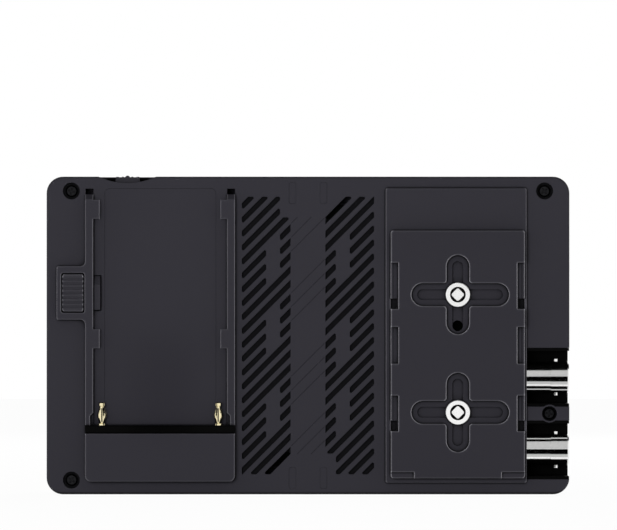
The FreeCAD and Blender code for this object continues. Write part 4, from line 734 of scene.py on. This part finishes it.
# %% Surround
ROOM_LIGHT = 0.4
world = bpy.context.scene.world or bpy.data.worlds.new("studio")
bpy.context.scene.world = world
world.use_nodes = True
tree = world.node_tree
tree.nodes.clear()
out = tree.nodes.new("ShaderNodeOutputWorld")
path = add(tree, "ShaderNodeLightPath", {}, {})
direct = add(tree, "ShaderNodeMath", {"operation": "MAXIMUM"},
             {0: path.outputs["Is Camera Ray"], 1: path.outputs["Is Glossy Ray"]})
seen = add(tree, "ShaderNodeMath", {"operation": "MAXIMUM"},
           {0: direct.outputs[0], 1: path.outputs["Is Transmission Ray"]})
level = add(tree, "ShaderNodeMapRange", {"To Min": ROOM_LIGHT, "To Max": 1.0},
            {"Value": seen.outputs[0]})
sky = add(tree, "ShaderNodeBackground", {"Color": WHITE}, {"Strength": level.outputs["Result"]})
tree.links.new(sky.outputs[0], out.inputs["Surface"])
print("room light:", ROOM_LIGHT)

# %% [markdown]
# In the photograph the back is lit almost straight from the camera, so its steps cast hardly any
# shadow. A small softbox close to the camera's line, a little to the left, does the same, and a
# larger one lights the side with the screen. Neither shows to the camera or in reflections: the
# cards below take care of those.

# %% Lamps
KEY_PLACE, KEY_SIZE, KEY_WATTS = (-0.12, -0.85, 0.065), 0.16, 4.8
FILL_PLACE, FILL_SIZE, FILL_WATTS = (0.3, 0.9, 0.6), 0.7, 6.0


def softbox(name, place, size, watts):
    """A square lamp that faces the middle of the monitor."""
    lamp = bpy.data.lights.new(name, "AREA")
    lamp.shape = "SQUARE"
    lamp.size = size
    lamp.energy = watts
    holder = bpy.data.objects.new(name, lamp)
    bpy.context.scene.collection.objects.link(holder)
    holder.location = place
    away = holder.location - Vector((0, 0, MIDDLE_Z))
    holder.rotation_euler = away.to_track_quat("Z", "Y").to_euler()
    holder.visible_camera = False
    holder.visible_glossy = False
    print(name, watts, "W")


softbox("key_softbox", KEY_PLACE, KEY_SIZE, KEY_WATTS)
softbox("front_fill", FILL_PLACE, FILL_SIZE, FILL_WATTS)

# %% [markdown]
# Bright metal shows the room. A photographer hangs cards where a reflection should be darker than
# the white surround, and so does this cell: a black one over the set, a grey one for the upper
# half of the jacks and a small black one close to the battery pins. Only reflections see the
# cards; the camera, the light and the shadows pass them.

# %% Cards
BLACK_CARD = 0.0
GREY_CARD = 0.56
PALE_CARD = 0.6
ROOM_CARDS = [  # name, lowest corner, highest corner, brightness
    ("overhead_card", (-0.7, -0.27, 0.36), (0.7, 0.6, 0.362), BLACK_CARD),
    ("grey_card", (0.055, -0.302, 0.05), (0.125, -0.3, 0.42), GREY_CARD),
    ("pin_card", (-0.052, -0.0222, 0.018), (-0.0335, -0.022, 0.046), BLACK_CARD),
]


def studio_card(name, low, high, brightness):
    """A thin upright or level card of even brightness that only reflections see."""
    bpy.ops.object.select_all(action="DESELECT")
    centre = [(a + b) / 2 for a, b in zip(low, high)]
    bpy.ops.mesh.primitive_cube_add(size=1.0, location=centre)
    card = bpy.context.object
    card.scale = [b - a for a, b in zip(low, high)]
    settle(card)
    card.name = name
    made, tree, out = start_material(name + "_felt")
    felt = add(tree, "ShaderNodeEmission", {"Color": WHITE, "Strength": brightness}, {})
    tree.links.new(felt.outputs[0], out.inputs["Surface"])
    card.data.materials.append(made)
    card.visible_camera = False
    card.visible_diffuse = False
    card.visible_shadow = False
    card.visible_transmission = False


for card_name, low, high, brightness in ROOM_CARDS:
    studio_card(card_name, low, high, brightness)
print("room cards:", len(ROOM_CARDS))

# %% [markdown]
# Each jack's barrel is a round mirror, so every row of it in the picture shows another part of the
# room. A black slat close to it, on the camera's side, draws the dark line along the barrel, a
# grey slat below that one tones the lower band, and a pale strip beside the barrel draws the thin
# line on the flank that faces the other jack.

# %% Cards for the jacks
SLAT_X = (60 * MM, 80 * MM)
SLAT_Y = (-12.2 * MM, -12.0 * MM)
SLATS = [  # name, lower and upper edge from the barrel's axis, brightness
    ("slat_card_", -5.1 * MM, 0.7 * MM, BLACK_CARD),
    ("low_slat_card_", -11.3 * MM, -5.1 * MM, GREY_CARD),
]
LINE_X = (62.9 * MM, 75.5 * MM)
LINE_OFFSET = 5.7 * MM
LINE_WIDTH = 0.75 * MM
LINE_THICKNESS = 0.1 * MM
JACK_LINES = [  # jack, side of its axis, rear edge of the pale strip
    ("sdi_in_jack", -1, -4.26 * MM),
    ("sdi_out_jack", 1, -5.0 * MM),
]
for number, (jack, side, line_y) in enumerate(JACK_LINES, 1):
    low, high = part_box(jack)
    axis_z = (low[2] + high[2]) / 2
    for slat, lower, upper, brightness in SLATS:
        studio_card(slat + str(number), (SLAT_X[0], SLAT_Y[0], axis_z + lower),
                    (SLAT_X[1], SLAT_Y[1], axis_z + upper), brightness)
    line_z = axis_z + side * LINE_OFFSET
    studio_card("line_card_" + str(number), (LINE_X[0], line_y, line_z - LINE_THICKNESS / 2),
                (LINE_X[1], line_y + LINE_WIDTH, line_z + LINE_THICKNESS / 2), PALE_CARD)
print("cards per jack:", len(SLATS) + 1)

# %% [markdown]
# The camera stands two metres behind the monitor with a long lens, level with its middle: in
# the photograph the deep sides of the case hardly show. The lens follows from the width that the
# frame takes in at that distance, and the upward shift puts the monitor low in the frame.

# %% Camera
FRAME_WIDTH_PX = 617
MM_PER_PX = 0.2895
SHIFT_RIGHT_PX = 0.5
SHIFT_UP_PX = 70.5
SENSOR_MM = 36.0
DISTANCE = 2.0
BACK_Y = -7 * MM
camera = bpy.data.cameras.new("camera")
camera.sensor_width = SENSOR_MM
camera.lens = SENSOR_MM * DISTANCE / (FRAME_WIDTH_PX * MM_PER_PX * MM)
camera.shift_x = SHIFT_RIGHT_PX / FRAME_WIDTH_PX
camera.shift_y = SHIFT_UP_PX / FRAME_WIDTH_PX
viewer = bpy.data.objects.new("camera", camera)
bpy.context.scene.collection.objects.link(viewer)
viewer.location = (0, BACK_Y - DISTANCE, MIDDLE_Z)
viewer.rotation_euler = (math.pi / 2, 0, 0)
bpy.context.scene.camera = viewer
bpy.context.scene.view_settings.view_transform = "Standard"
print("lens", round(camera.lens, 1), "mm")
